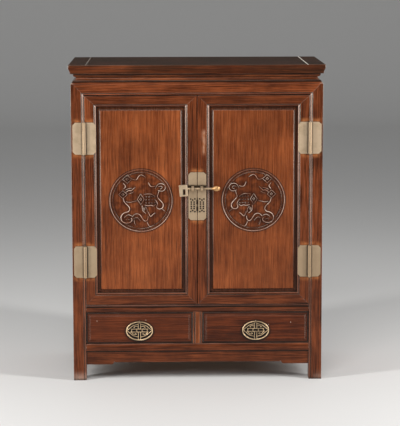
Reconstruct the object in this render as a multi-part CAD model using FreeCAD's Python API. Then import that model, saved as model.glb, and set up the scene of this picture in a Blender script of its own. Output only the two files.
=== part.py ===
"""Two-door hardwood cabinet with two drawers. Millimetres, +Z up, the doors face -Y.

Pieces are drawn with y = 0 on the front faces of the posts and moved to the common frame on
export. Everything on the right is the mirror image of the left, apart from the lock.
"""

import math
import os

import FreeCAD
import Part

V = FreeCAD.Vector
X, Y, Z = V(1, 0, 0), V(0, 1, 0), V(0, 0, 1)
ORIGIN = V(0, 0, 0)
HALF_TURN, FULL_TURN = 180, 360  # degrees

# Overall
TOP_WIDTH = 800
TOP_DEPTH = 430
HEIGHT = 1000
TOP_OVERHANG = 7

# Fits shared by all pieces
OVERRUN = 2  # every cut runs this far past the face that it opens
TENON_LENGTH = 11
TENON_END_GAP = 1
GROOVE_DEPTH = 8
GROOVE_END_GAP = 1
DOOR_GAP = 1.5
DOOR_SEAM = 2.2
DRAWER_GAP = 1.5
DRAWER_GAP_ABOVE = 2

# Heights, from the floor up
APRON_END_HEIGHT = 50
BOTTOM_RAIL_FOOT = 92
BOTTOM_RAIL_HEIGHT = 25
DRAWER_OPENING_HEIGHT = 102
MIDDLE_RAIL_HEIGHT = 23
TOP_RAIL_HEIGHT = 42
WAIST_HEIGHT = 24
TOP_THICKNESS = 28

# Posts and rails
POST = 40
RAIL_DEPTH = 34
RAIL_BULGE = 3  # how far the round front of the lower rails stands out
SIDE_RAIL_DEPTH = 30
BEAD_WIDTH = 6
BEAD_HEIGHT = 2
QUIRK_WIDTH = 1.2  # groove beside the bead
SHOULDER_INSET = 6
SHOULDER_HEIGHT = 8
MITRE_DEPTH = 14
FRONT_TENON_SETBACK = 16
FRONT_TENON_THICKNESS = 10
FRONT_TENON_SHOULDER = 5
SIDE_TENON_SETBACK = 19
SIDE_TENON_THICKNESS = 8
SIDE_TENON_SHOULDER = 4

# Divider between the drawers
DIVIDER_WIDTH = 30
DIVIDER_SETBACK = 3
DIVIDER_TENON_WIDTH = 12

# Side and back panels, floor and shelf
PANEL_THICKNESS = 8
PANEL_SETBACK = 8
FLOOR_THICKNESS = 12
FLOOR_TONGUE = 6
FLOOR_BELOW_RAIL = 2
SHELF_RISE = 1  # from the middle of the door to the underside of the shelf
SHELF_THICKNESS = 16
SHELF_FRONT_SETBACK = 60
SHELF_GAP = 1
BEARER_WIDTH = 35
BEARER_HEIGHT = 22

# Aprons
APRON_THICKNESS = 14
APRON_SETBACK = 4
APRON_RISE = 7  # the middle stands this much higher than the ends
APRON_LOBE = 79
APRON_CUSP = 9
APRON_NOTCH = 2
APRON_TONGUE = 6
APRON_TONGUE_SETBACK = 4
APRON_TENON_LENGTH = 8
APRON_TENON_SHOULDER = 10

# Waist moulding, insets from the outer faces of the body
WAIST_TOP_INSET = 8
WAIST_THROAT_INSET = 16
WAIST_FOOT_INSET = 6
WAIST_WIDTH = 24
WAIST_THROAT_HEIGHT = 14
WAIST_FILLET = 2
WAIST_ROUNDING = 2.5

# Top
TOP_RAIL_WIDTH = 63
TOP_EDGE_SLOPE = 6
TOP_EDGE_FACE = 11  # upright part of the edge
TOP_EDGE_ROUND = 2
TOP_PANEL_THICKNESS = 12
TOP_TONGUE = 6
TOP_PANEL_GAP = 0.8
TOP_TENON_THICKNESS = 8
TOP_TENON_FOOT = 8
TOP_TENON_WIDTH = 22
BRACE_WIDTH = 40
BRACE_PLACE_SHARE = 0.25  # of the panel's width, from its middle

# Doors
DOOR_THICKNESS = 28
STILE_WIDTH = 37
DOOR_TOP_RAIL = 34
DOOR_BOTTOM_RAIL = 37
DOOR_GAP_ABOVE = 2
DOOR_MITRE_DEPTH = 9
DOOR_TENON_SETBACK = 18
DOOR_TENON_THICKNESS = 8
DOOR_TENON_LENGTH = 24
DOOR_TENON_SHOULDER = 9
DOOR_GROOVE_SETBACK = 10
DOOR_TONGUE = 6
FIELD_SETBACK = 2.5
FIELD_MARGIN = 10
FIELD_BEVEL = 2
BATTEN_HEIGHT = 26
BATTEN_THICKNESS = 9
BATTEN_TENON = 6

# Carved medallion on each door panel
MEDALLION_DIAMETER = 199
RING_BEAD = 2.2
RING_CROWN_SHARE = 0.5
GROUND_DIAMETER = 179.6
GROUND_DEPTH = 2

# Hinges
HINGE_HEIGHT = 100
HINGE_WIDTH = 72
HINGE_THICKNESS = 1.6
HINGE_CORNER = 8
HINGE_BELOW_DOOR_TOP = 133  # middle of the upper hinge
HINGE_ABOVE_DOOR_FOOT = 137  # middle of the lower hinge
KNUCKLES = 3
KNUCKLE_FLATS = 16  # round the knuckles, their bores and the pins
KNUCKLE_RADIUS = 5.5
KNUCKLE_GAP = 0.4
HINGE_PIN_RADIUS = 2.5
HINGE_PIN_FIT = 0.1
HINGE_PIN_END = 2  # length of the pin past the knuckles

# Lock
LOCK_PLATE_WIDTH = 27.5  # half of the plate, from the middle of the cabinet
LOCK_PLATE_HEIGHT = 151
LOCK_PLATE_THICKNESS = 2
LOCK_PLATE_CORNER = 7
LOCK_PLATE_RISE = 14.5  # from the middle of the door to the middle of the plate
FRET_DROP = 14  # from the middle of the door down to the middle of the fret
FRET_HEIGHT = 46
FRET_HOLE = 4.2
SEAM_NOTCH = 1.6
SEAM_NOTCH_HEIGHT = 14
STAPLE_PLACE = 14.4
STAPLE_WIDTH = 8
STAPLE_RADIUS = 8
STAPLE_NECK = 7
STAPLE_SHANK = 5
STAPLE_CLENCH = 2  # length of the shank behind the stile
STAPLE_FLATS = 8  # filed round the ring, also on the staples of the pulls
PIN_RISE = 40  # from the middle of the door
PIN_STANDOFF = 14
PIN_RADIUS = 3.3
PIN_LOOSENESS = 0.6
PIN_LEFT = 46
PIN_RIGHT = 45
BUD_LENGTH = 27
BUD_RADIUS = 9
BUD_PETALS = 6
PADLOCK_LEFT = 57
PADLOCK_RIGHT = 31
PADLOCK_ABOVE_PIN = 12
PADLOCK_BELOW_PIN = 24
PADLOCK_THICKNESS = 10
PADLOCK_SLOT_WIDTH = 6
PADLOCK_SLOT_HEIGHT = 13
PADLOCK_SLOT_BELOW_PIN = 4.6
PADLOCK_SHANK_WIDTH = 7
PADLOCK_TILT_DEG = -5
PADLOCK_EDGE = 1
PADLOCK_FIT = 0.08

# Drawers
DRAWER_BACK_ROOM = 33  # between a drawer and the back rails
DRAWER_FRONT_THICKNESS = 21
DRAWER_FRONT_SETBACK = 1
DRAWER_FIELD_HEIGHT = 3
DRAWER_FIELD_MARGIN = 9
DRAWER_FIELD_BEVEL = 3
DRAWER_SIDE_THICKNESS = 12
DRAWER_SIDE_BELOW_OPENING = 6
DRAWER_BACK_THICKNESS = 12
DRAWER_BACK_HOUSING = 4
DRAWER_BACK_INSET = 8
DRAWER_BOTTOM_THICKNESS = 8
DRAWER_BOTTOM_HEIGHT = 6
DRAWER_BOTTOM_TONGUE = 6
DRAWER_RUN_GAP = 0.3
DRAWER_GUIDE_GAP = 0.5
TAILS = 3
TAIL_LENGTH = 12
TAIL_FLARE = 3
TAIL_SHARE = 0.55  # of the pitch of the dovetails
RUNNER_WIDTH = 32  # of the flat that carries a drawer side
RUNNER_THICKNESS = 14
RUNNER_ABOVE_RAIL = 1
GUIDE_HEIGHT = 20

# Pulls
PULL_WIDTH = 86
PULL_HEIGHT = 62
PULL_THICKNESS = 3
PULL_RIM = 5
PULL_BAR = 4  # of the rim above the top slot, which hangs in the staple
PULL_LOWER_BY = 9  # the middle of the pull lies this far under the middle of the drawer
PULL_STAPLE_WIDTH = 2.4
PULL_STAPLE_HOLE = 3
PULL_STAPLE_RADIUS = 4.4
PULL_SHANK = 4
PULL_SHANK_LENGTH = 18
PULL_SLOT_WIDTH = 3.4
PULL_SLOT_HEIGHT = 14

# Openings of a pull: middle x, middle z, width and height, in shares of the half width and half
# height; every one with x over zero has a mirror image
PULL_MIDDLE_SHARES = [(0, 0.073, 0.35, 0.145), (0, -0.468, 0.084, 0.68)]
PULL_SIDE_SHARES = [
    (0.244, 0.645, 0.21, 0.194),
    (0.244, 0.371, 0.21, 0.226),
    (0.465, 0.355, 0.14, 0.194),
    (0.453, 0.081, 0.395, 0.226),
    (0.331, -0.226, 0.453, 0.226),
    (0.221, -0.565, 0.21, 0.194),
]
CLIP_SHARE = 0.3  # corner of an opening, of its smaller side
# Gaps between rim and fret: start angle and end angle in degrees, depth as a share
PULL_CRESCENT_SHARES = [(22, 56, 0.1), (-66, -6, 0.17)]
# Fret of a lock plate: x in shares of the half plate's width, z in shares of the fret's height
FRET_SHARES = [
    (0.76, 0.43), (0.53, 0.36), (0.28, 0.44),
    (0.69, 0.22), (0.36, 0.22), (0.69, 0.08), (0.36, 0.08),
    (0.69, -0.08), (0.36, -0.08), (0.69, -0.22), (0.36, -0.22),
    (0.76, -0.43), (0.53, -0.36), (0.28, -0.44),
]
SEAM_NOTCH_SHARES = [0.22, -0.24]
# Bud at the end of the lock pin: length and radius as shares
BUD_SHARES = [(0, 0.42), (0.12, 0.5), (0.36, 0.9), (0.52, 1), (0.7, 0.92), (0.88, 0.62), (1, 0.3)]
BUD_FURROW_SHARE = 0.86  # radius between two petals, of the radius over a petal

# Worked out from the sizes above
BODY_HALF = TOP_WIDTH / 2 - TOP_OVERHANG
BODY_DEPTH = TOP_DEPTH - 2 * TOP_OVERHANG
OPENING_HALF = BODY_HALF - POST
BACK_POST_FRONT = BODY_DEPTH - POST
BODY_TOP = HEIGHT - TOP_THICKNESS - WAIST_HEIGHT
BOTTOM_RAIL_TOP = BOTTOM_RAIL_FOOT + BOTTOM_RAIL_HEIGHT
MIDDLE_RAIL_FOOT = BOTTOM_RAIL_TOP + DRAWER_OPENING_HEIGHT
MIDDLE_RAIL_TOP = MIDDLE_RAIL_FOOT + MIDDLE_RAIL_HEIGHT
TOP_RAIL_FOOT = BODY_TOP - TOP_RAIL_HEIGHT
RAIL_LEVELS = [
    (BOTTOM_RAIL_FOOT, BOTTOM_RAIL_TOP),
    (MIDDLE_RAIL_FOOT, MIDDLE_RAIL_TOP),
    (TOP_RAIL_FOOT, BODY_TOP),
]
PANEL_LEVELS = [(BOTTOM_RAIL_TOP, MIDDLE_RAIL_FOOT), (MIDDLE_RAIL_TOP, TOP_RAIL_FOOT)]
DOOR_FOOT = MIDDLE_RAIL_TOP + DOOR_GAP_ABOVE
DOOR_TOP = TOP_RAIL_FOOT - DOOR_GAP_ABOVE
MEDALLION_HEIGHT = (DOOR_FOOT + DOOR_TOP) / 2
SHELF_HEIGHT = MEDALLION_HEIGHT + SHELF_RISE
LOCK_PLATE_MIDDLE = MEDALLION_HEIGHT + LOCK_PLATE_RISE
FRET_MIDDLE = MEDALLION_HEIGHT - FRET_DROP
PIN_HEIGHT = MEDALLION_HEIGHT + PIN_RISE
HINGE_UPPER = DOOR_TOP - HINGE_BELOW_DOOR_TOP
HINGE_LOWER = DOOR_FOOT + HINGE_ABOVE_DOOR_FOOT
HINGE_X = -OPENING_HALF + DOOR_GAP / 2
HINGE_Y = -KNUCKLE_RADIUS - KNUCKLE_GAP
LOCK_REACH = PIN_STANDOFF + BUD_RADIUS
FRONT_Y = (LOCK_REACH - BODY_DEPTH - TOP_OVERHANG) / 2


# Shapes


def outline(start, *steps):
    """Closed wire from start; a step is an end point, or (via, end) for an arc."""
    edges, here = [], start
    for step in steps + (start,):
        if isinstance(step, tuple):
            via, end = step
            edges.append(Part.Arc(here, via, end).toShape())
        else:
            end = step
            if (end - here).Length > 0:
                edges.append(Part.LineSegment(here, end).toShape())
        here = end
    return Part.Wire(edges)


def extruded(wire, along):
    return Part.Face(wire).extrude(along)


def block(x0, x1, y0, y1, z0, z1):
    return Part.makeBox(x1 - x0, y1 - y0, z1 - z0, V(x0, y0, z0))


def box_between(a, b):
    """Box between two opposite corners."""
    x, y, z = (sorted(pair) for pair in zip(a, b))
    return block(*x, *y, *z)


def prism_y(points, y0, y1):
    """Polygon of (x, z) points, extruded from y0 to y1."""
    return extruded(outline(*[V(x, y0, z) for x, z in points]), Y * (y1 - y0))


def prism_z(points, z0, z1):
    """Polygon of (x, y) points, extruded from z0 to z1."""
    return extruded(outline(*[V(x, y, z0) for x, y in points]), Z * (z1 - z0))


def joined(*shapes):
    return shapes[0].fuse(list(shapes[1:])).removeSplitter()


def without(shape, *cutters):
    return shape.cut(list(cutters)) if cutters else shape


def mirrored(shape):
    return shape.mirror(ORIGIN, X)


def both(shape):
    return [shape, mirrored(shape)]


def rectangle(x0, x1, z0, z1, y):
    return outline(V(x0, y, z0), V(x1, y, z0), V(x1, y, z1), V(x0, y, z1))


def raised_field(x0, x1, z0, z1, y_back, y_front, bevel):
    """Flat field with bevelled edges, standing in front of a board."""
    back = rectangle(x0, x1, z0, z1, y_back)
    front = rectangle(x0 + bevel, x1 - bevel, z0 + bevel, z1 - bevel, y_front)
    return Part.makeLoft([back, front], True, True)


def filed_bar(start, along, side, radius, flats):
    """Bar with flats all round, radius away from its axis."""
    corner = radius / math.cos(math.pi / flats)
    other = along.cross(side).normalize()
    turns = [math.pi * (2 * n + 1) / flats for n in range(flats)]
    points = [start + (side * math.cos(t) + other * math.sin(t)) * corner for t in turns]
    return extruded(outline(*points), along)


def beaded_bar(corner, across, along, width, depth, near_bead=False, far_bead=True):
    """Bar with its front face at y = 0 and a quirk bead along one or both long edges."""
    crown, quirk = BEAD_WIDTH / 2, BEAD_WIDTH + QUIRK_WIDTH

    def at(u, v):
        return corner + across * u + Y * v

    steps = [at(0, 0)]
    if near_bead:
        steps = [at(0, BEAD_HEIGHT), (at(crown, 0), at(BEAD_WIDTH, BEAD_HEIGHT))]
        steps += [at(quirk, BEAD_HEIGHT), at(quirk, 0)]
    if far_bead:
        steps += [at(width - quirk, 0), at(width - quirk, BEAD_HEIGHT)]
        steps += [at(width - BEAD_WIDTH, BEAD_HEIGHT)]
        steps += [(at(width - crown, 0), at(width, BEAD_HEIGHT))]
    else:
        steps += [at(width, 0)]
    return extruded(outline(*steps, at(width, depth), at(0, depth)), along)


def mitred_rail(outer, inner, z_outer, z_inner, depth, mitre, tenon_y, tenon_length, shoulder):
    """Rail between two uprights, mitred with them in front and tenoned into them behind.

    Gives the rail, and what the uprights lose to it.
    """
    up = 1 if z_inner > z_outer else -1
    height = abs(z_inner - z_outer)
    low, high = min(z_outer, z_inner), max(z_outer, z_inner)
    bar = beaded_bar(V(outer[0], 0, z_outer), Z * up, X * (outer[1] - outer[0]), height, depth)
    horns = [
        prism_y([(xi, z_inner), (xi, z_outer), (xo, z_outer)], 0, mitre)
        for xo, xi in zip(outer, inner)
    ]
    middle = block(inner[0], inner[1], 0, depth, low, high)
    rail = bar.common(joined(middle, *horns))
    tenons, mortises = [], []
    for reach, cuts in ((tenon_length, tenons), (tenon_length + TENON_END_GAP, mortises)):
        for x0, x1 in ((inner[0] - reach, inner[0]), (inner[1], inner[1] + reach)):
            cuts.append(block(x0, x1, *tenon_y, low + shoulder, high - shoulder))
    return joined(rail, *tenons), horns + mortises


def mitred_ring(half_width, y0, y1, width, section):
    """Front, back, left and right lengths of a moulding, mitred at the four corners.

    section gives the closed wire from a function of inset and height.
    """

    def off_corner(sx, cy, sy, along_x):
        cx = -sx * half_width
        near = (cx - sx * OVERRUN, cy - sy * OVERRUN)
        far = (cx + sx * (width + OVERRUN), cy + sy * (width + OVERRUN))
        third = (near[0], far[1]) if along_x else (far[0], near[1])
        return prism_z([near, far, third], 0, HEIGHT + OVERRUN)

    long = X * (2 * half_width)
    front = extruded(section(lambda i, z: V(-half_width, y0 + i, z)), long)
    back = extruded(section(lambda i, z: V(-half_width, y1 - i, z)), long)
    left = extruded(section(lambda i, z: V(-half_width + i, y0, z)), Y * (y1 - y0))
    front = without(front, off_corner(1, y0, 1, True), off_corner(-1, y0, 1, True))
    back = without(back, off_corner(1, y1, -1, True), off_corner(-1, y1, -1, True))
    left = without(left, off_corner(1, y0, 1, False), off_corner(1, y1, -1, False))
    return front, back, left, mirrored(left)


# Carcass


def shoulder_ring():
    """What the sloping shoulder takes off the top of the posts and rails."""
    foot = BODY_TOP - SHOULDER_HEIGHT

    def level(inset, z):
        x, y0, y1 = BODY_HALF - inset, inset, BODY_DEPTH - inset
        return outline(V(-x, y0, z), V(x, y0, z), V(x, y1, z), V(-x, y1, z))

    slope = Part.makeLoft([level(0, foot), level(SHOULDER_INSET, BODY_TOP)], True, True)
    x, y = BODY_HALF + OVERRUN, BODY_DEPTH + OVERRUN
    return block(-x, x, -OVERRUN, y, foot, BODY_TOP).cut(slope)


def round_rail(z0, z1):
    """Front rail with a rounded face, between the posts."""
    x, y = OPENING_HALF, RAIL_BULGE
    crown = V(-x, 0, (z0 + z1) / 2)
    face = outline(V(-x, y, z0), (crown, V(-x, y, z1)), V(-x, RAIL_DEPTH, z1), V(-x, RAIL_DEPTH, z0))
    rail = extruded(face, X * (2 * x))
    tenon_y = (FRONT_TENON_SETBACK, FRONT_TENON_SETBACK + FRONT_TENON_THICKNESS)
    heights = (z0 + FRONT_TENON_SHOULDER, z1 - FRONT_TENON_SHOULDER)
    tenon = block(-x - TENON_LENGTH, -x, *tenon_y, *heights)
    mortise = block(-x - TENON_LENGTH - TENON_END_GAP, -x, *tenon_y, *heights)
    return joined(rail, *both(tenon)), both(mortise)


def side_rail(z0, z1):
    """Left side rail and its mortises."""
    y0, y1 = POST, BACK_POST_FRONT
    x = -BODY_HALF + SIDE_TENON_SETBACK
    rail = block(-BODY_HALF, -BODY_HALF + SIDE_RAIL_DEPTH, y0, y1, z0, z1)
    section = (z0 + SIDE_TENON_SHOULDER, z1 - SIDE_TENON_SHOULDER)
    reach = TENON_LENGTH + TENON_END_GAP
    tenon = block(x, x + SIDE_TENON_THICKNESS, y0 - TENON_LENGTH, y1 + TENON_LENGTH, *section)
    mortise = block(x, x + SIDE_TENON_THICKNESS, y0 - reach, y1 + reach, *section)
    return joined(rail, tenon), mortise.cut(rail)


def back_rail(z0, z1):
    """Back rail and its mortises."""
    x, y = OPENING_HALF, BODY_DEPTH
    tenon_y = (y - SIDE_TENON_SETBACK - SIDE_TENON_THICKNESS, y - SIDE_TENON_SETBACK)
    section = (z0 + SIDE_TENON_SHOULDER, z1 - SIDE_TENON_SHOULDER)
    reach = x + TENON_LENGTH
    rail = block(-x, x, y - SIDE_RAIL_DEPTH, y, z0, z1)
    tenon = block(-reach, reach, *tenon_y, *section)
    mortise = block(-reach - TENON_END_GAP, reach + TENON_END_GAP, *tenon_y, *section)
    return joined(rail, tenon), mortise.cut(rail)


def side_panel(z0, z1, reach):
    x = -BODY_HALF + PANEL_SETBACK
    y0, y1 = POST - reach, BACK_POST_FRONT + reach
    return block(x, x + PANEL_THICKNESS, y0, y1, z0 - reach, z1 + reach)


def back_panel(z0, z1, reach):
    x, y = OPENING_HALF + reach, BODY_DEPTH - PANEL_SETBACK
    return block(-x, x, y - PANEL_THICKNESS, y, z0 - reach, z1 + reach)


def apron(corner, along, back, length):
    """Board under a bottom rail: deeper at both ends, with a small cusp between end and middle."""
    end, middle, top = APRON_END_HEIGHT, APRON_END_HEIGHT + APRON_RISE, BOTTOM_RAIL_FOOT
    tip, cusp = middle + APRON_NOTCH, APRON_LOBE + APRON_CUSP
    bow = math.sqrt(1 / 2)

    def at(s, v, z):
        return corner + along * s + back * v + Z * z

    half = outline(
        at(0, 0, top),
        at(0, 0, end),
        at(APRON_LOBE, 0, end),
        (at(APRON_LOBE + bow * APRON_CUSP, 0, end + (1 - bow) * (tip - end)), at(cusp, 0, tip)),
        (at(cusp + (1 - bow) * APRON_CUSP, 0, middle + (1 - bow) * APRON_NOTCH),
         at(cusp + APRON_CUSP, 0, middle)),
        at(length / 2, 0, middle),
        at(length / 2, 0, top),
    )
    board = extruded(half, back * APRON_THICKNESS)
    board = joined(board, board.mirror(at(length / 2, 0, 0), along))
    v0, v1 = APRON_TONGUE_SETBACK, APRON_TONGUE_SETBACK + APRON_TONGUE
    reach, low, high = APRON_TENON_LENGTH, end + APRON_TENON_SHOULDER, top - APRON_TENON_SHOULDER
    tongue = box_between(at(0, v0, top), at(length, v1, top + APRON_TONGUE))
    tenon = box_between(at(-reach, v0, low), at(length + reach, v1, high))
    return joined(board, tongue, tenon)


def front_apron():
    return apron(V(-OPENING_HALF, APRON_SETBACK, 0), X, Y, 2 * OPENING_HALF)


def side_apron():
    return apron(V(-BODY_HALF + APRON_SETBACK, POST, 0), Y, X, BACK_POST_FRONT - POST)


def divider():
    """Upright between the drawers, and its mortises."""
    x, y = DIVIDER_WIDTH / 2, DIVIDER_SETBACK
    height = Z * DRAWER_OPENING_HEIGHT
    bar = beaded_bar(V(-x, 0, BOTTOM_RAIL_TOP), X, height, DIVIDER_WIDTH, RAIL_DEPTH - y, True, True)
    bar.translate(Y * y)
    tenon_x = (-DIVIDER_TENON_WIDTH / 2, DIVIDER_TENON_WIDTH / 2)
    tenon_y = (FRONT_TENON_SETBACK, FRONT_TENON_SETBACK + FRONT_TENON_THICKNESS)
    reach = TENON_LENGTH
    tenon = block(*tenon_x, *tenon_y, BOTTOM_RAIL_TOP - reach, MIDDLE_RAIL_FOOT + reach)
    reach = TENON_LENGTH + TENON_END_GAP
    mortise = block(*tenon_x, *tenon_y, BOTTOM_RAIL_TOP - reach, MIDDLE_RAIL_FOOT + reach)
    return joined(bar, tenon), mortise.cut(bar)


def cupboard_floor(reach):
    """Board over the drawers, tongued into the middle rails and notched round the posts."""
    x, y0, y1 = BODY_HALF - SIDE_RAIL_DEPTH, RAIL_DEPTH, BODY_DEPTH - SIDE_RAIL_DEPTH
    top = MIDDLE_RAIL_TOP - FLOOR_BELOW_RAIL
    low = top - FLOOR_THICKNESS
    board = block(-x, x, y0, y1, low, top)
    tongue = block(-x - reach, x + reach, y0 - reach, y1 + reach, low, low + FLOOR_TONGUE)
    notch_x = OPENING_HALF - GROOVE_END_GAP
    front = (-OVERRUN, POST + GROOVE_END_GAP)
    back = (BACK_POST_FRONT - GROOVE_END_GAP, BODY_DEPTH + OVERRUN)
    notches = []
    for y in (front, back):
        notches += both(block(-BODY_HALF - OVERRUN, -notch_x, *y, low - OVERRUN, top + OVERRUN))
    return without(joined(board, tongue), *notches)


def drawer_runners():
    """Left, middle and right runners, each with the guides that keep the drawers straight."""
    y0, y1 = RAIL_DEPTH, BODY_DEPTH - SIDE_RAIL_DEPTH
    top = BOTTOM_RAIL_TOP + RUNNER_ABOVE_RAIL
    low = top - RUNNER_THICKNESS
    outer = -BODY_HALF + SIDE_RAIL_DEPTH
    face = -OPENING_HALF + DRAWER_GAP - DRAWER_GUIDE_GAP
    flat = block(outer, face + RUNNER_WIDTH, POST, BACK_POST_FRONT, low, top)
    ends = block(-OPENING_HALF, face + RUNNER_WIDTH, y0, y1, low, top)
    guide = block(outer, face, POST, BACK_POST_FRONT, top, top + GUIDE_HEIGHT)
    left = joined(flat, ends, guide)
    half = DIVIDER_WIDTH / 2 + DRAWER_GAP - DRAWER_GUIDE_GAP
    wide = half + RUNNER_WIDTH
    middle = joined(
        block(-wide, wide, y0, y1, low, top),
        block(-half, half, y0, y1, top, top + GUIDE_HEIGHT),
    )
    return left, middle, mirrored(left)


def waist_section(at):
    """Moulding between body and top: a rounding over a cove that flares to the shoulder."""
    z0, z1 = BODY_TOP, HEIGHT - TOP_THICKNESS
    throat = z0 + WAIST_THROAT_HEIGHT
    inner = WAIST_FOOT_INSET + WAIST_WIDTH
    cove_z, cove_i = (z0 + WAIST_FILLET + throat) / 2, (WAIST_FOOT_INSET + WAIST_THROAT_INSET) / 2
    round_z, round_i = (throat + z1) / 2, (WAIST_THROAT_INSET + WAIST_TOP_INSET) / 2
    swell = WAIST_ROUNDING
    return outline(
        at(inner, z0),
        at(WAIST_FOOT_INSET, z0),
        at(WAIST_FOOT_INSET, z0 + WAIST_FILLET),
        (at(cove_i + swell, cove_z - swell), at(WAIST_THROAT_INSET, throat)),
        (at(round_i - swell, round_z - swell), at(WAIST_TOP_INSET, z1)),
        at(inner, z1),
    )


def carcass():
    """Posts, rails, panels and what stands inside, by node name."""
    shoulder = shoulder_ring()
    outer, inner = (-BODY_HALF, BODY_HALF), (-OPENING_HALF, OPENING_HALF)
    tenon_y = (FRONT_TENON_SETBACK, FRONT_TENON_SETBACK + FRONT_TENON_THICKNESS)
    top_rail, top_cuts = mitred_rail(
        outer, inner, BODY_TOP, TOP_RAIL_FOOT, RAIL_DEPTH, MITRE_DEPTH, tenon_y, TENON_LENGTH,
        SHOULDER_HEIGHT,
    )
    bottom_rail, bottom_cuts = round_rail(*RAIL_LEVELS[0])
    middle_rail, middle_cuts = round_rail(*RAIL_LEVELS[1])
    upright, upright_cut = divider()
    side_rails = [side_rail(*z) for z in RAIL_LEVELS]
    back_rails = [back_rail(*z) for z in RAIL_LEVELS]
    groove = GROOVE_DEPTH + GROOVE_END_GAP
    side_grooves = [side_panel(*z, groove) for z in PANEL_LEVELS]
    back_grooves = [back_panel(*z, groove) for z in PANEL_LEVELS]
    floor_groove = cupboard_floor(groove)
    aprons = front_apron(), side_apron()

    cuts = [shoulder, *top_cuts, *bottom_cuts, *middle_cuts, *aprons]
    cuts += [c for _, c in side_rails + back_rails] + side_grooves + back_grooves
    post = beaded_bar(V(-BODY_HALF, 0, 0), X, Z * BODY_TOP, POST, POST)
    front_post = without(post, *cuts)
    square = block(-BODY_HALF, -OPENING_HALF, BACK_POST_FRONT, BODY_DEPTH, 0, BODY_TOP)
    back_post = without(square, *cuts)
    left_rails = [without(r, shoulder, *side_grooves, floor_groove, aprons[1]) for r, _ in side_rails]
    rear_rails = [without(r, shoulder, *back_grooves, floor_groove) for r, _ in back_rails]
    side_panels = [side_panel(*z, GROOVE_DEPTH) for z in PANEL_LEVELS]
    shelf_half = OPENING_HALF - SHELF_GAP
    shelf_back = BODY_DEPTH - PANEL_SETBACK - PANEL_THICKNESS - SHELF_GAP
    shelf = block(
        -shelf_half, shelf_half, SHELF_FRONT_SETBACK, shelf_back,
        SHELF_HEIGHT, SHELF_HEIGHT + SHELF_THICKNESS,
    )
    bearer_x = -BODY_HALF + PANEL_SETBACK + PANEL_THICKNESS
    bearer = block(
        bearer_x, bearer_x + BEARER_WIDTH, POST, BACK_POST_FRONT,
        SHELF_HEIGHT - BEARER_HEIGHT, SHELF_HEIGHT,
    )
    return {
        "front_left_post": [front_post],
        "front_right_post": [mirrored(front_post)],
        "back_left_post": [back_post],
        "back_right_post": [mirrored(back_post)],
        "front_top_rail": [without(top_rail, shoulder)],
        "front_middle_rail": [without(middle_rail, upright_cut, floor_groove)],
        "front_bottom_rail": [without(bottom_rail, upright_cut, aprons[0])],
        "drawer_divider": [upright],
        "front_apron": [aprons[0]],
        "side_aprons": both(aprons[1]),
        "left_side_rails": left_rails,
        "right_side_rails": [mirrored(r) for r in left_rails],
        "back_rails": rear_rails,
        "left_side_panels": side_panels,
        "right_side_panels": [mirrored(p) for p in side_panels],
        "back_panels": [back_panel(*z, GROOVE_DEPTH) for z in PANEL_LEVELS],
        "cupboard_floor": [cupboard_floor(GROOVE_DEPTH)],
        "shelf": [shelf],
        "shelf_bearers": both(bearer),
        "drawer_runners": list(drawer_runners()),
    }


# Top


def top_section(at):
    """Edge of the top: a small rounding, an upright face, then a hollow slope inwards."""
    z0, z1 = HEIGHT - TOP_THICKNESS, HEIGHT
    face = z1 - TOP_EDGE_FACE
    soft = TOP_EDGE_ROUND * (1 - math.sqrt(1 / 2))
    hollow_i = TOP_EDGE_SLOPE * math.sqrt(1 / 2)
    return outline(
        at(TOP_RAIL_WIDTH, z0),
        at(TOP_EDGE_SLOPE, z0),
        (at(hollow_i, (z0 + face) / 2), at(0, face)),
        at(0, z1 - TOP_EDGE_ROUND),
        (at(soft, z1 - soft), at(TOP_EDGE_ROUND, z1)),
        at(TOP_RAIL_WIDTH, z1),
    )


def top():
    """Mitred top frame with its floating panel and braces, and the waist under it."""
    half, y0, y1 = TOP_WIDTH / 2, -TOP_OVERHANG, BODY_DEPTH + TOP_OVERHANG
    front, back, left, _ = mitred_ring(half, y0, y1, TOP_RAIL_WIDTH, top_section)
    in_x, in_y0, in_y1 = half - TOP_RAIL_WIDTH, y0 + TOP_RAIL_WIDTH, y1 - TOP_RAIL_WIDTH
    panel_z = HEIGHT - TOP_PANEL_THICKNESS

    def tongue(reach):
        return block(
            -in_x - reach, in_x + reach, in_y0 - reach, in_y1 + reach, panel_z, panel_z + TOP_TONGUE
        )

    gap = TOP_PANEL_GAP
    panel = block(-in_x + gap, in_x - gap, in_y0 + gap, in_y1 - gap, panel_z, HEIGHT)
    panel = joined(panel, tongue(GROOVE_DEPTH))
    groove = tongue(GROOVE_DEPTH + GROOVE_END_GAP)
    tenon_z = HEIGHT - TOP_THICKNESS + TOP_TENON_FOOT
    tenon_x = -in_x - GROOVE_DEPTH - GROOVE_END_GAP - TOP_TENON_WIDTH

    def tenon(reach):
        # the end rail's tenon crosses the mitre and goes on into the front and back rails
        return block(
            tenon_x, tenon_x + TOP_TENON_WIDTH, in_y0 - reach, in_y1 + reach,
            tenon_z, tenon_z + TOP_TENON_THICKNESS,
        )

    long, longer = TOP_RAIL_WIDTH - TENON_LENGTH, TOP_RAIL_WIDTH - TENON_LENGTH + TENON_END_GAP
    mortises = both(tenon(longer).cut(left))
    left = without(joined(left, tenon(long)), groove)
    brace_x = BRACE_PLACE_SHARE * 2 * in_x
    brace = block(
        -brace_x - BRACE_WIDTH / 2, -brace_x + BRACE_WIDTH / 2, in_y0, in_y1,
        HEIGHT - TOP_THICKNESS, panel_z,
    )
    return {
        "top_front_rail": [without(front, groove, *mortises)],
        "top_back_rail": [without(back, groove, *mortises)],
        "top_left_end": [left],
        "top_right_end": [mirrored(left)],
        "top_panel": [panel],
        "top_braces": both(brace),
        "waist_moulding": list(
            mitred_ring(BODY_HALF, 0, BODY_DEPTH, WAIST_FOOT_INSET + WAIST_WIDTH, waist_section)
        ),
    }


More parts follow.
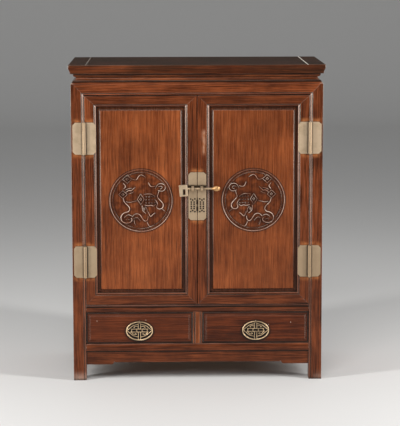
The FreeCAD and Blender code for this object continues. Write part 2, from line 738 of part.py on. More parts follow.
# Doors


def ring_bead(radius, bead, middle):
    """Flat-topped bead round the medallion, as wide as twice its height."""
    crown = RING_CROWN_SHARE * bead
    profile = [(-bead, bead), (-bead, 0), (-crown, -bead), (crown, -bead), (bead, 0), (bead, bead)]
    wire = outline(*[middle + V(radius + out, y, 0) for out, y in profile])
    return Part.Face(wire).revolve(middle, Y, FULL_TURN)


def door_panel(x0, x1, z0, z1):
    """Floating panel: a tongue all round, a sunk margin and a raised field with the medallion."""
    back, reach, m = DOOR_GROOVE_SETBACK + DOOR_TONGUE, GROOVE_DEPTH, FIELD_MARGIN
    board = block(x0 - reach, x1 + reach, DOOR_GROOVE_SETBACK, back, z0 - reach, z1 + reach)
    field = raised_field(
        x0 + m, x1 - m, z0 + m, z1 - m, DOOR_GROOVE_SETBACK, FIELD_SETBACK, FIELD_BEVEL
    )
    middle = V((x0 + x1) / 2, FIELD_SETBACK, MEDALLION_HEIGHT)
    ring = ring_bead(MEDALLION_DIAMETER / 2 - RING_BEAD, RING_BEAD, middle)
    ground = Part.makeCylinder(GROUND_DIAMETER / 2, GROUND_DEPTH, middle, Y)
    return joined(board, field, ring).cut(ground)


def hinge_plate(side):
    """Flat leaf of a hinge, from its clipped outer edge to the pin; side -1 is the post's."""
    outer = HINGE_X + side * HINGE_WIDTH / 2
    inner = HINGE_X + side * KNUCKLE_GAP
    clip = outer - side * HINGE_CORNER
    half = HINGE_HEIGHT / 2
    points = [
        (inner, -half), (clip, -half), (outer, -half + HINGE_CORNER),
        (outer, half - HINGE_CORNER), (clip, half), (inner, half),
    ]
    return prism_y(points, -HINGE_THICKNESS, 0)


def hinge():
    """Post leaf, door leaf and pin of a left hinge at height zero."""
    half, pitch, gap = HINGE_HEIGHT / 2, HINGE_HEIGHT / KNUCKLES, KNUCKLE_GAP / 2
    knuckles, rooms = ([], []), ([], [])
    for n in range(KNUCKLES):
        low, high, owner = n * pitch - half, (n + 1) * pitch - half, n % 2
        knuckles[owner].append(upright(KNUCKLE_RADIUS, low + gap, high - gap))
        rooms[owner].append(upright(KNUCKLE_RADIUS + KNUCKLE_GAP, low - gap, high + gap))
    bore = upright(HINGE_PIN_RADIUS + HINGE_PIN_FIT, -half - OVERRUN, half + OVERRUN)
    leaves = [
        joined(without(hinge_plate(2 * owner - 1), *rooms[1 - owner]), *knuckles[owner]).cut(bore)
        for owner in (0, 1)
    ]
    return (*leaves, upright(HINGE_PIN_RADIUS, -half - HINGE_PIN_END, half + HINGE_PIN_END))


def upright(radius, z0, z1):
    """Bar on the hinge axis of the left door."""
    return filed_bar(V(HINGE_X, HINGE_Y, z0), Z * (z1 - z0), X, radius, KNUCKLE_FLATS)


def hinges():
    """Post leaves, door leaves and pins of both hinges of the left door."""
    sets = [[], [], []]
    for z in (HINGE_LOWER, HINGE_UPPER):
        for group, piece in zip(sets, hinge()):
            piece.translate(Z * z)
            group.append(piece)
    return sets


def lock_plate():
    """Left half of the lock plate, pierced, with notches along the seam."""
    outer, seam = -LOCK_PLATE_WIDTH, -DOOR_SEAM / 2
    low, high = LOCK_PLATE_MIDDLE - LOCK_PLATE_HEIGHT / 2, LOCK_PLATE_MIDDLE + LOCK_PLATE_HEIGHT / 2
    c = LOCK_PLATE_CORNER
    points = [(seam, low), (outer + c, low), (outer, low + c)]
    points += [(outer, high - c), (outer + c, high), (seam, high)]
    plate = prism_y(points, -LOCK_PLATE_THICKNESS, 0)
    y, half = (-LOCK_PLATE_THICKNESS - OVERRUN, OVERRUN), FRET_HOLE / 2
    holes = []
    for x_share, z_share in FRET_SHARES:
        x, z = x_share * outer, FRET_MIDDLE + z_share * FRET_HEIGHT
        holes.append(block(x - half, x + half, *y, z - half, z + half))
    for z_share in SEAM_NOTCH_SHARES:
        z, tall = FRET_MIDDLE + z_share * FRET_HEIGHT, SEAM_NOTCH_HEIGHT / 2
        holes.append(block(seam - SEAM_NOTCH, seam + OVERRUN, *y, z - tall, z + tall))
    return without(plate, *holes)


def across(radius, x0, x1):
    """Cylinder on the axis of the lock pin."""
    return Part.makeCylinder(radius, x1 - x0, V(x0, -PIN_STANDOFF, PIN_HEIGHT), X)


def staple():
    """Left staple: a ring for the lock pin on a shank through plate and stile."""
    x, half, shank = -STAPLE_PLACE, STAPLE_WIDTH / 2, STAPLE_SHANK / 2
    neck = STAPLE_NECK / 2
    low, high = PIN_HEIGHT - neck, PIN_HEIGHT + neck
    start, along = V(x - half, -PIN_STANDOFF, PIN_HEIGHT), X * STAPLE_WIDTH
    ring = filed_bar(start, along, Y, STAPLE_RADIUS, STAPLE_FLATS)
    collar = block(x - half, x + half, -PIN_STANDOFF, -LOCK_PLATE_THICKNESS, low, high)
    bolt = block(
        x - shank, x + shank, -PIN_STANDOFF, DOOR_THICKNESS + STAPLE_CLENCH,
        PIN_HEIGHT - shank, PIN_HEIGHT + shank,
    )
    eye = filed_bar(start, along, Y, PIN_RADIUS + PIN_LOOSENESS, STAPLE_FLATS)
    return joined(ring, collar, bolt).cut(eye)


def left_door(leaves):
    """Frame, panel and fittings of the left door, by node name."""
    x = (-OPENING_HALF + DOOR_GAP, -DOOR_SEAM / 2)
    z0, z1 = DOOR_FOOT, DOOR_TOP
    in_x = (x[0] + STILE_WIDTH, x[1] - STILE_WIDTH)
    in_z = (z0 + DOOR_BOTTOM_RAIL, z1 - DOOR_TOP_RAIL)
    joint = (
        DOOR_THICKNESS, DOOR_MITRE_DEPTH,
        (DOOR_TENON_SETBACK, DOOR_TENON_SETBACK + DOOR_TENON_THICKNESS),
        DOOR_TENON_LENGTH, DOOR_TENON_SHOULDER,
    )
    top_rail, top_cuts = mitred_rail(x, in_x, z1, in_z[1], *joint)
    bottom_rail, bottom_cuts = mitred_rail(x, in_x, z0, in_z[0], *joint)
    g, panel_back = GROOVE_DEPTH + GROOVE_END_GAP, DOOR_GROOVE_SETBACK + DOOR_TONGUE
    groove = block(in_x[0] - g, in_x[1] + g, DOOR_GROOVE_SETBACK, panel_back, in_z[0] - g, in_z[1] + g)

    def batten(reach):
        z = MEDALLION_HEIGHT
        return block(
            in_x[0] - reach, in_x[1] + reach, panel_back, panel_back + BATTEN_THICKNESS,
            z - BATTEN_HEIGHT / 2, z + BATTEN_HEIGHT / 2,
        )

    cuts = [*top_cuts, *bottom_cuts, groove, batten(BATTEN_TENON + TENON_END_GAP), staple()]
    tall = Z * (z1 - z0)
    hinge_stile = beaded_bar(V(x[0], 0, z0), X, tall, STILE_WIDTH, DOOR_THICKNESS)
    lock_stile = beaded_bar(V(x[1], 0, z0), -X, tall, STILE_WIDTH, DOOR_THICKNESS)
    return {
        "left_door_hinge_stile": [without(hinge_stile, *cuts)],
        "left_door_lock_stile": [without(lock_stile, *cuts)],
        "left_door_top_rail": [without(top_rail, groove)],
        "left_door_bottom_rail": [without(bottom_rail, groove)],
        "left_door_panel": [door_panel(*in_x, *in_z)],
        "left_door_batten": [batten(BATTEN_TENON)],
        "left_door_hinge_leaves": leaves,
        "left_lock_plate": [lock_plate().cut(staple())],
        "left_staple": [staple()],
    }


def bud():
    """Bud with petals, on the right end of the lock pin."""

    def ring(along, out):
        points = []
        for n in range(2 * BUD_PETALS):
            turn = math.pi * n / BUD_PETALS
            radius = BUD_RADIUS * out * (BUD_FURROW_SHARE if n % 2 else 1)
            y, z = -PIN_STANDOFF - radius * math.cos(turn), PIN_HEIGHT + radius * math.sin(turn)
            points.append(V(PIN_RIGHT + along * BUD_LENGTH, y, z))
        return points

    rings = [ring(*shares) for shares in BUD_SHARES]
    faces = [Part.Face(outline(*end)) for end in (rings[0], rings[-1])]
    for near, far in zip(rings, rings[1:]):
        for n in range(2 * BUD_PETALS):
            faces.append(Part.Face(outline(near[n - 1], near[n], far[n], far[n - 1])))
    return Part.makeSolid(Part.makeShell(faces))


def lock():
    """Pin through both staples, its bud, and the padlock that hangs on its left end."""
    pin = across(PIN_RADIUS, -PIN_LEFT, PIN_RIGHT)
    y = (-PIN_STANDOFF - PADLOCK_THICKNESS / 2, -PIN_STANDOFF + PADLOCK_THICKNESS / 2)
    low, high = PIN_HEIGHT - PADLOCK_BELOW_PIN, PIN_HEIGHT + PADLOCK_ABOVE_PIN
    body = block(-PADLOCK_LEFT, -PADLOCK_RIGHT, *y, low, high)
    body = body.makeChamfer(PADLOCK_EDGE, body.Edges)
    slot_right, slot_top = -PADLOCK_RIGHT - PADLOCK_SHANK_WIDTH, PIN_HEIGHT - PADLOCK_SLOT_BELOW_PIN
    slot = block(
        slot_right - PADLOCK_SLOT_WIDTH, slot_right, y[0] - OVERRUN, y[1] + OVERRUN,
        slot_top - PADLOCK_SLOT_HEIGHT, slot_top,
    )
    body = body.cut(slot)
    middle = V(-(PADLOCK_LEFT + PADLOCK_RIGHT) / 2, -PIN_STANDOFF, PIN_HEIGHT)
    body.rotate(middle, Y, PADLOCK_TILT_DEG)
    bore = across(PIN_RADIUS + PADLOCK_FIT, -PIN_LEFT - TENON_END_GAP, -PADLOCK_RIGHT + OVERRUN)
    return {"lock_pin": [pin], "lock_pin_bud": [bud()], "padlock": [body.cut(bore)]}


# Drawers


def pull_outline(width, height, middle):
    ellipse = Part.Ellipse(middle + X * (width / 2), middle + Z * (height / 2), middle)
    return Part.Wire([ellipse.toShape()])


def clipped_opening(middle, width, height, along):
    """Slot with clipped corners."""
    a, b = width / 2, height / 2
    c = CLIP_SHARE * min(width, height)
    points = [(-a, c - b), (c - a, -b), (a - c, -b), (a, c - b)]
    points += [(-x, -z) for x, z in points]
    return extruded(outline(*[middle + V(x, 0, z) for x, z in points]), along)


def crescent(middle, start, end, depth, along):
    """Opening between the rim of a pull and two straight bars of its fret."""
    half_x, half_z = PULL_WIDTH / 2 - PULL_RIM, PULL_HEIGHT / 2 - PULL_RIM

    def at(angle, share):
        turn = math.radians(angle)
        return middle + V(share * half_x * math.cos(turn), 0, share * half_z * math.sin(turn))

    halfway = (start + end) / 2
    edge = outline(at(start, 1), (at(halfway, 1), at(end, 1)), at(halfway, 1 - depth))
    return extruded(edge, along)


def pull(x, y, axis_z):
    """Openwork oval plate; its top bar lies on the axis x, y, axis_z."""
    middle = V(x, y - PULL_THICKNESS / 2, axis_z + PULL_BAR / 2 - PULL_HEIGHT / 2)
    plate = extruded(pull_outline(PULL_WIDTH, PULL_HEIGHT, middle), Y * PULL_THICKNESS)
    front, along = middle - Y * OVERRUN, Y * (PULL_THICKNESS + 2 * OVERRUN)
    a, b = PULL_WIDTH / 2, PULL_HEIGHT / 2
    holes = []
    for sx, sz, sw, sh in PULL_MIDDLE_SHARES:
        holes.append(clipped_opening(front + V(sx * a, 0, sz * b), sw * a, sh * b, along))
    for side in (-1, 1):
        for sx, sz, sw, sh in PULL_SIDE_SHARES:
            holes.append(clipped_opening(front + V(side * sx * a, 0, sz * b), sw * a, sh * b, along))
    for start, end, depth in PULL_CRESCENT_SHARES:
        holes.append(crescent(front, start, end, depth, along))
        holes.append(crescent(front, HALF_TURN - end, HALF_TURN - start, depth, along))
    slot_top = axis_z - PULL_BAR / 2
    slot = block(
        x - PULL_SLOT_WIDTH / 2, x + PULL_SLOT_WIDTH / 2, front.y, front.y + along.y,
        slot_top - PULL_SLOT_HEIGHT, slot_top,
    )
    return without(plate, slot, *holes)


def pull_staple(x, y, axis_z):
    """Ring round the bar of a pull, on a shank into the drawer front."""
    half, shank = PULL_STAPLE_WIDTH / 2, PULL_SHANK / 2
    start, along = V(x - half, y, axis_z), X * PULL_STAPLE_WIDTH
    ring = filed_bar(start, along, Y, PULL_STAPLE_RADIUS, STAPLE_FLATS)
    eye = filed_bar(start, along, Y, PULL_STAPLE_HOLE, STAPLE_FLATS)
    deep = y + PULL_STAPLE_RADIUS + PULL_SHANK_LENGTH
    bolt = block(x - half, x + half, y, deep, axis_z - shank, axis_z + shank)
    return joined(ring, bolt).cut(eye)


def left_drawer():
    """Dovetailed drawer with its pull, by node name."""
    x0, x1 = -OPENING_HALF + DRAWER_GAP, -DIVIDER_WIDTH / 2 - DRAWER_GAP
    z0, z1 = BOTTOM_RAIL_TOP + DRAWER_GAP_ABOVE, MIDDLE_RAIL_FOOT - DRAWER_GAP_ABOVE
    x, y0 = (x0 + x1) / 2, DRAWER_FRONT_SETBACK
    y_board, y_back = y0 + DRAWER_FIELD_HEIGHT, y0 + DRAWER_FRONT_THICKNESS
    y_end = BODY_DEPTH - SIDE_RAIL_DEPTH - DRAWER_BACK_ROOM
    m = DRAWER_FIELD_MARGIN
    field = raised_field(x0 + m, x1 - m, z0 + m, z1 - m, y_board, y0, DRAWER_FIELD_BEVEL)
    front = joined(block(x0, x1, y_board, y_back, z0, z1), field)

    low = BOTTOM_RAIL_TOP + RUNNER_ABOVE_RAIL + DRAWER_RUN_GAP
    high = MIDDLE_RAIL_FOOT - DRAWER_SIDE_BELOW_OPENING
    side = block(x0, x0 + DRAWER_SIDE_THICKNESS, y_back, y_end, low, high)
    pitch = (min(high, z1) - max(low, z0)) / TAILS
    half, tip = TAIL_SHARE * pitch / 2, y_back - TAIL_LENGTH
    for n in range(TAILS):
        middle = max(low, z0) + n * pitch + pitch / 2
        tail = outline(
            V(x0, y_back, middle - half), V(x0, tip, middle - half - TAIL_FLARE),
            V(x0, tip, middle + half + TAIL_FLARE), V(x0, y_back, middle + half),
        )
        side = joined(side, extruded(tail, X * DRAWER_SIDE_THICKNESS))
    other = side.mirror(V(x, 0, 0), X)

    floor_low = low + DRAWER_BOTTOM_HEIGHT
    floor_high = floor_low + DRAWER_BOTTOM_THICKNESS
    inset = DRAWER_SIDE_THICKNESS - DRAWER_BOTTOM_TONGUE
    floor = block(x0 + inset, x1 - inset, y_back - DRAWER_BOTTOM_TONGUE, y_end, floor_low, floor_high)
    inset = DRAWER_SIDE_THICKNESS - DRAWER_BACK_HOUSING
    rear = y_end - DRAWER_BACK_INSET
    back = block(x0 + inset, x1 - inset, rear - DRAWER_BACK_THICKNESS, rear, floor_high, high)
    sides = [without(s, floor, back) for s in (side, other)]

    axis_z = (z0 + z1) / 2 - PULL_LOWER_BY + PULL_HEIGHT / 2 - PULL_BAR / 2
    axis_y = y0 - PULL_STAPLE_HOLE
    hold = pull_staple(x, axis_y, axis_z)
    return {
        "left_drawer_front": [without(front, side, other, floor, hold)],
        "left_drawer_box": [*sides, back],
        "left_drawer_bottom": [floor],
        "left_pull_staple": [hold],
        "left_pull": [pull(x, axis_y, axis_z)],
    }


def left_and_right(nodes):
    """The left-hand nodes, and their mirror images under right-hand names."""
    right = {
        name.replace("left", "right", 1): [mirrored(s) for s in solids] for name, solids in nodes.items()
    }
    return {**nodes, **right}


def main():
    post_leaves, door_leaves, pins = hinges()
    nodes = {**carcass(), **top()}
    nodes["post_hinge_leaves"] = [leaf for piece in post_leaves for leaf in both(piece)]
    nodes["hinge_pins"] = [pin for piece in pins for pin in both(piece)]
    nodes.update(left_and_right(left_door(door_leaves)))
    nodes.update(lock())
    nodes.update(left_and_right(left_drawer()))
    os.makedirs("parts", exist_ok=True)
    for name, solids in nodes.items():
        shape = Part.makeCompound(solids) if len(solids) > 1 else solids[0].copy()
        shape.translate(Y * FRONT_Y)
        shape.exportStep("parts/%s.step" % name)


main()
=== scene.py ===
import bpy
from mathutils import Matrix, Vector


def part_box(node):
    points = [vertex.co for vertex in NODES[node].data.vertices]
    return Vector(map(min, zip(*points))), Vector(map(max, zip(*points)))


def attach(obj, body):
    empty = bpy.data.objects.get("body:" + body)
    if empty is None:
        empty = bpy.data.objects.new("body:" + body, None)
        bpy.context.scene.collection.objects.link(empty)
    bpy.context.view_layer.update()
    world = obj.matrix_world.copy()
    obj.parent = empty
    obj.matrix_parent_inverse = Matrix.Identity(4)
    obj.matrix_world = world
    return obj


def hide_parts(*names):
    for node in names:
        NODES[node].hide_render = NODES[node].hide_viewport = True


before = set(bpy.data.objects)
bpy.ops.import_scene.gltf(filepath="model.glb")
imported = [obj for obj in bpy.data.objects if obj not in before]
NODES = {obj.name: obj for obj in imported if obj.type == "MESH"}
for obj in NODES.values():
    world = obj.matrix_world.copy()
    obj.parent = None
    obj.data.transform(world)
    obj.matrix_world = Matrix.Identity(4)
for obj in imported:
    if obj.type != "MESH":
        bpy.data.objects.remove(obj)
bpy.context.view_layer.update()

import math

import bmesh
import bpy
from bpy.props import FloatProperty, FloatVectorProperty, IntProperty, PointerProperty
from mathutils import Matrix, Vector

bl_info = {
    "name": "Two-door hardwood cabinet",
    "version": (1, 0, 0),
    "blender": (4, 5, 0),
    "location": "3D View > Sidebar > Cabinet",
    "description": "Wood, brass and carving of a two-door cabinet with two drawers",
    "category": "Object",
}


def both(*names):
    """Names of the left and the right one of each piece."""
    return [f"{side}_{name}" for name in names for side in ("left", "right")]


# Wooden pieces by finish and by the direction of their grain
UPRIGHTS = [
    "front_left_post", "front_right_post", "back_left_post", "back_right_post",
    *both("door_hinge_stile", "door_lock_stile"),
]
LEVEL_RAILS = [
    "front_top_rail", "front_middle_rail", "front_bottom_rail", "front_apron", "back_rails",
    *both("door_top_rail", "door_bottom_rail"),
]
DEEP_RAILS = [*both("side_rails"), "side_aprons"]
TOP_LEVEL = ["top_front_rail", "top_back_rail", "top_panel"]
TOP_DEEP = ["top_left_end", "top_right_end"]
DOOR_PANELS = both("door_panel")
SIDE_PANELS = both("side_panels")
DRAWER_FRONTS = both("drawer_front")
INNER_LEVEL = ["cupboard_floor", "shelf", *both("door_batten", "drawer_bottom")]
INNER_DEEP = ["shelf_bearers", "drawer_runners", "top_braces", *both("drawer_box")]

# Metal pieces by finish
PLATES = ["post_hinge_leaves", *both("door_hinge_leaves", "lock_plate")]
PINS_AND_STAPLES = ["hinge_pins", "lock_pin", *both("staple", "pull_staple")]


# Settings

SMALLEST = 0.00001  # metres, because a size of nought has no meaning


def colour(name, description, value):
    return FloatVectorProperty(
        name=name, description=description, subtype="COLOR", size=4, min=0, max=1, default=(*value, 1))


def length(name, description, value):
    return FloatProperty(name=name, description=description, unit="LENGTH", default=value, min=SMALLEST)


class CabinetWood(bpy.types.PropertyGroup):
    frame_dark: colour("Frame dark", "Dark streaks of posts, rails and stiles", (0.042, 0.0088, 0.0024))
    frame_light: colour("Frame light", "Light streaks of posts, rails and stiles", (0.195, 0.050, 0.0150))
    panel_dark: colour("Panel dark", "Dark streaks of the door panels", (0.118, 0.0265, 0.0068))
    panel_light: colour("Panel light", "Light streaks of the door panels", (0.253, 0.071, 0.0210))
    drawer_dark: colour("Drawer dark", "Dark streaks of the drawer fronts", (0.034, 0.0065, 0.0016))
    drawer_light: colour("Drawer light", "Light streaks of the drawer fronts", (0.130, 0.028, 0.0070))
    inner_dark: colour("Inner dark", "Dark streaks of the bare wood inside", (0.16, 0.075, 0.033))
    inner_light: colour("Inner light", "Light streaks of the bare wood inside", (0.37, 0.21, 0.105))
    # Dark film on the upward faces of the top, which also stands as a painted dark reflection
    top_film: colour("Film on the top", "Dark dull wax on the upper side", (0.017, 0.0115, 0.0055))
    worn: colour("Worn", "Wood rubbed bright round the metal", (0.50, 0.175, 0.055))
    # Pale colour of worn edges, scuffs and feet, also used for painted highlights on beads, field edges,
    # the ring and the carved ridges
    rubbed: colour("Rubbed edge", "Wood rubbed pale along edges and carving", (0.74, 0.56, 0.45))
    # Pale wax colour, used for the pale joint lines on the top and for painted highlights on upright edges
    filler: colour("Filler", "Pale wax in open joints and on upright edges", (0.78, 0.72, 0.62))
    # Dark colour of old wax and dust, also used as painted shade in grooves, beside the ring, round the
    # pulls and under the lock plate
    grime: colour("Grime", "Old wax and dust in grooves", (0.010, 0.0055, 0.0035))
    fibre: length("Fibre width", "Spacing of the fine streaks across the grain", 0.0035)
    band: length("Band width", "Spacing of the broad bands across the grain", 0.022)
    # Width of the worn edges and of the painted highlights on upright edges
    edge: length("Edge wear", "Width of the rubbed edges", 0.0022)
    # Thickness of the thin forms whose flanks get a painted highlight
    bead: length("Bead wear", "Thickness of the beads that are rubbed bright", 0.005)
    # Reach of the grime and painted shade laid into grooves and corners
    groove: length("Groove", "How far grime reaches out of a groove", 0.011)


class CabinetBrass(bpy.types.PropertyGroup):
    pale: colour("Pale brass", "Hinges, lock plates and padlock", (0.67, 0.50, 0.33))
    tarnish: colour("Tarnish", "Brown film on hinges and lock plates", (0.36, 0.25, 0.15))
    pull: colour("Pull brass", "Openwork pulls of the drawers", (0.80, 0.57, 0.335))
    dull: colour("Dull brass", "Hinge pins, lock pin and staples", (0.56, 0.41, 0.26))
    # Deep tarnish, also toned darker for painted shade on the lock plates, padlock and pulls
    deep: colour("Deep tarnish", "Brown film on pulls, pins, staples and padlock", (0.11, 0.070, 0.036))
    gilt: colour("Gilt", "Bud at the end of the lock pin", (0.56, 0.31, 0.13))
    petals: IntProperty(name="Petals", description="Lobes round the bud", default=6, min=3)


class CabinetCarving(bpy.types.PropertyGroup):
    height: length("Relief", "How far the carving stands off its ground", 0.0036)
    rim: length("Rim", "Half width of the bead round the ground", 0.0009)
    steps: IntProperty(name="Steps", description="Steps between two points of a ribbon", default=6, min=1)


class CabinetStage(bpy.types.PropertyGroup):
    floor: colour("Floor", "Colour of floor and backdrop", (0.74, 0.73, 0.71))
    sky: FloatProperty(
        name="Surrounding light", description="Strength of the even light", default=0.24, min=0)
    lens: FloatProperty(name="Lens", description="Focal length in millimetres", default=152.03, min=1)


# Node helpers


class Nodes:
    """Adds nodes and links to a node tree by short calls."""

    def __init__(self, tree):
        self.nodes = tree.nodes
        self.links = tree.links

    def add(self, kind, settings=None, **inputs):
        """New node; an underscore in the name of an input stands for a space."""
        node = self.nodes.new(kind)
        for key, value in (settings or {}).items():
            setattr(node, key, value)
        for key, value in inputs.items():
            self.put(node.inputs[key.replace("_", " ")], value)
        return node

    def put(self, socket, value):
        """Links a socket to another one, or sets its value."""
        if hasattr(value, "is_output"):
            self.links.new(value, socket)
        else:
            socket.default_value = value

    def math(self, operation, a, b=0.0):
        node = self.add("ShaderNodeMath", {"operation": operation})
        self.put(node.inputs[0], a)
        self.put(node.inputs[1], b)
        return node.outputs[0]

    def times(self, *factors):
        result = factors[0]
        for factor in factors[1:]:
            result = self.math("MULTIPLY", result, factor)
        return result

    def parts(self, vector):
        return self.add("ShaderNodeSeparateXYZ", Vector=vector).outputs


class Tree(Nodes):
    """Nodes of a material in the making.

    shade is its colour so far, patina a broad noise, and wear the share of the worn edges and painted
    highlights that is kept, a number or a socket. A mask is 1 where it holds and 0 elsewhere, and its range
    is the pair of values at which it is 0 and 1.
    """

    SAMPLES = 6  # rays of each bevel and occlusion node
    EDGE = (0.995, 0.82)  # range of the cosine between a face and the rounded normal
    HOLLOW, THIN = (0.92, 0.55), (0.95, 0.6)  # ranges of openness, round a form and inside it
    OFF_FRONT, OFF_SIDE = (0.08, 0.2), (0.75, 0.5)  # ranges of how far a bead's flank looks sideways
    UPPER, UPPER_SHARE = (0.1, 0.6), 0.5  # range of how far it looks up, and what that counts for

    def __init__(self, name, wear=1.0):
        self.material = bpy.data.materials.new(name)
        self.material.use_nodes = True
        super().__init__(self.material.node_tree)
        self.nodes.clear()
        self.shader = self.add("ShaderNodeBsdfPrincipled")
        self.add("ShaderNodeOutputMaterial", Surface=self.shader.outputs[0])
        self.place = self.add("ShaderNodeTexCoord").outputs["Object"]
        self.x, self.y, self.z = self.parts(self.place)
        self.normal = self.add("ShaderNodeNewGeometry").outputs["Normal"]
        self.wear = wear
        self.shade = None
        self.patina = None

    def larger(self, a, b):
        return self.math("MAXIMUM", a, b)

    def gap(self, a, b):
        """How far two values are apart."""
        return self.math("ABSOLUTE", self.math("SUBTRACT", a, b))

    def vector(self, operation, a, b=(0, 0, 0)):
        node = self.add("ShaderNodeVectorMath", {"operation": operation})
        self.put(node.inputs[0], a)
        self.put(node.inputs[1], b)
        return node.outputs["Value" if operation in ("LENGTH", "DOT_PRODUCT") else "Vector"]

    def ramp(self, value, stops):
        node = self.add("ShaderNodeValToRGB", Fac=value)
        points = node.color_ramp.elements
        while len(points) < len(stops):
            points.new(0.5)
        for point, (place, shade) in zip(points, stops):
            point.position = place
            point.color = (*shade[:3], 1)
        return node.outputs["Color"]

    def span(self, value, source, target, smooth=False):
        """Maps one range of values to another."""
        node = self.add("ShaderNodeMapRange", Value=value)
        node.interpolation_type = "SMOOTHSTEP" if smooth else "LINEAR"
        for end, (start, result) in zip(("Min", "Max"), zip(source, target)):
            node.inputs["From " + end].default_value = start
            node.inputs["To " + end].default_value = result
        return node.outputs[0]

    def fade(self, value, none, full):
        """Mask that is 0 at none, 1 at full and smooth between."""
        if none < full:
            return self.span(value, (none, full), (0, 1), True)
        return self.span(value, (full, none), (1, 0), True)

    def mix(self, factor, a, b, blend="MIX"):
        node = self.add("ShaderNodeMix", {"data_type": "RGBA", "blend_type": blend})
        self.put(node.inputs[0], factor)
        self.put(node.inputs[6], a)
        self.put(node.inputs[7], b)
        return node.outputs[2]

    def paint(self, shade, *masks, strength=1):
        """Lays a colour over the colour so far, where all the masks hold."""
        factors = masks if strength == 1 else (*masks, strength)
        self.shade = self.mix(self.times(*factors), self.shade, shade)

    def tint(self, tone):
        """Multiplies the colour so far by a tone."""
        self.shade = self.mix(1.0, self.shade, tone, "MULTIPLY")

    def noise(self, vector, scale=1.0, detail=4.0, rough=0.55, distortion=0.0):
        node = self.add("ShaderNodeTexNoise", Vector=vector, Scale=scale, Detail=detail, Roughness=rough,
                        Distortion=distortion)
        return node.outputs["Fac"]

    def grained(self, place, axis, across, along):
        """Coordinates stretched along the grain; across and along are the lengths of one unit."""
        scale = [1 / across] * 3
        scale["XYZ".index(axis)] = 1 / along
        return self.add("ShaderNodeMapping", Vector=place, Scale=scale).outputs[0]

    def rounded(self, width):
        """Normal that is rounded over the edges."""
        return self.add("ShaderNodeBevel", {"samples": self.SAMPLES}, Radius=width).outputs[0]

    def edges(self, soft):
        """Mask of the edges over which a normal is rounded."""
        return self.fade(self.vector("DOT_PRODUCT", soft, self.normal), *self.EDGE)

    def openness(self, reach, **settings):
        """Share of the surroundings within reach that is open."""
        settings["samples"] = self.SAMPLES
        return self.add("ShaderNodeAmbientOcclusion", settings, Distance=reach).outputs["AO"]

    def hollows(self, reach):
        """Mask of grooves and corners."""
        return self.fade(self.openness(reach), *self.HOLLOW)

    def beads(self, thickness):
        """Mask of thin rounded forms, on the flanks that face sideways or up."""
        thin = self.fade(self.openness(thickness, inside=True, only_local=True), *self.THIN)
        facing = self.parts(self.normal)
        sideways = self.math("ABSOLUTE", facing["X"])
        flank = self.times(self.fade(sideways, *self.OFF_FRONT), self.fade(sideways, *self.OFF_SIDE))
        upper = self.times(self.fade(facing["Z"], *self.UPPER), self.UPPER_SHARE)
        return self.times(thin, self.larger(flank, upper))

    def ahead(self, y, reach):
        """Mask of what lies in front of y, fading a reach behind it."""
        return self.fade(self.y, y + reach, y)

    def patch(self, centre, half_width, half_height, soft=0.004):
        """Mask of a rectangle on the front, fading at its edge."""
        off = self.parts(self.vector("ABSOLUTE", self.vector("SUBTRACT", self.place, centre)))
        wide = self.fade(off["X"], half_width, half_width - soft)
        return self.times(wide, self.fade(off["Z"], half_height, half_height - soft))

    def finished(self, rough, height, soft, strength, depth):
        """Material with its colour, roughness and a bump over the rounded normal."""
        bump = self.add("ShaderNodeBump", Strength=strength, Distance=depth, Height=height, Normal=soft)
        self.put(self.shader.inputs["Base Color"], self.shade)
        self.put(self.shader.inputs["Roughness"], rough)
        self.put(self.shader.inputs["Normal"], bump.outputs[0])
        return self.material


def toned(shade, share):
    """Colour made lighter or darker by a share."""
    return (*(min(1, share * part) for part in shade[:3]), 1)


# Ranges of noise, which gathers round a half: nearly all of it, most of it and its middle
WIDE, MOST, CORE = (0.2, 0.8), (0.3, 0.7), (0.35, 0.65)

# Figure of the hardwood: widths and lengths of its marks, in widths of a fibre or band
FIBRE_LONG, BAND_LONG = 30, 18
PORE_WIDE, PORE_LONG = 0.25, 6
LINE_WIDE, LINE_LONG = 0.6, 25
CLOUDS = 9  # broad dark and light clouds, to a metre
PIECE_SHIFT = (7.3, 3.1, 5.7)  # metres of timber over which the pieces are spread
FIBRE_SHARE, BAND_SHARE = 0.72, 0.38  # of the streaks
STREAK_STOPS = (0.42, 0.55, 0.68)  # noise at which the wood is dark, middling and light
CLOUD_TONES = (0.58, 0.54, 0.52), (1.36, 1.32, 1.26)  # dark and light clouds against the wood
PORE_TONE, LINE_TONE = 0.4, 1.5  # pores against dark wood, bright lines against light wood
PORES, BRIGHT_LINES, DARK_LINES = (0.41, 0.30), (0.58, 0.72), (0.42, 0.28)  # ranges of noise
WEAR_CLOUDS, WEAR_SHARES = (0.3, 0.65), (0.45, 0.95)  # how wear and painted highlights change with the clouds
RUBBED_FIBRES = (0.32, 0.62)  # range of noise of the fibres that are rubbed
EDGE_STRENGTH, BEAD_STRENGTH = 0.4, 0.7  # of the edge wear, and of the painted highlight on beads
SIDEWAYS, LEVEL = (0.08, 0.4), (0.12, 0.03)  # ranges of how an upright edge with a painted highlight looks sideways and up
FIBRE_RISE = 0.5  # of the fibres against the depth of the pores
SMOOTHER, ROUGHER, PORE_ROUGH = -0.08, 0.1, 0.15  # what fibres and pores do to the roughness
WOOD_BUMP, WOOD_DEPTH = 0.2, 0.0005  # strength and depth of the bump

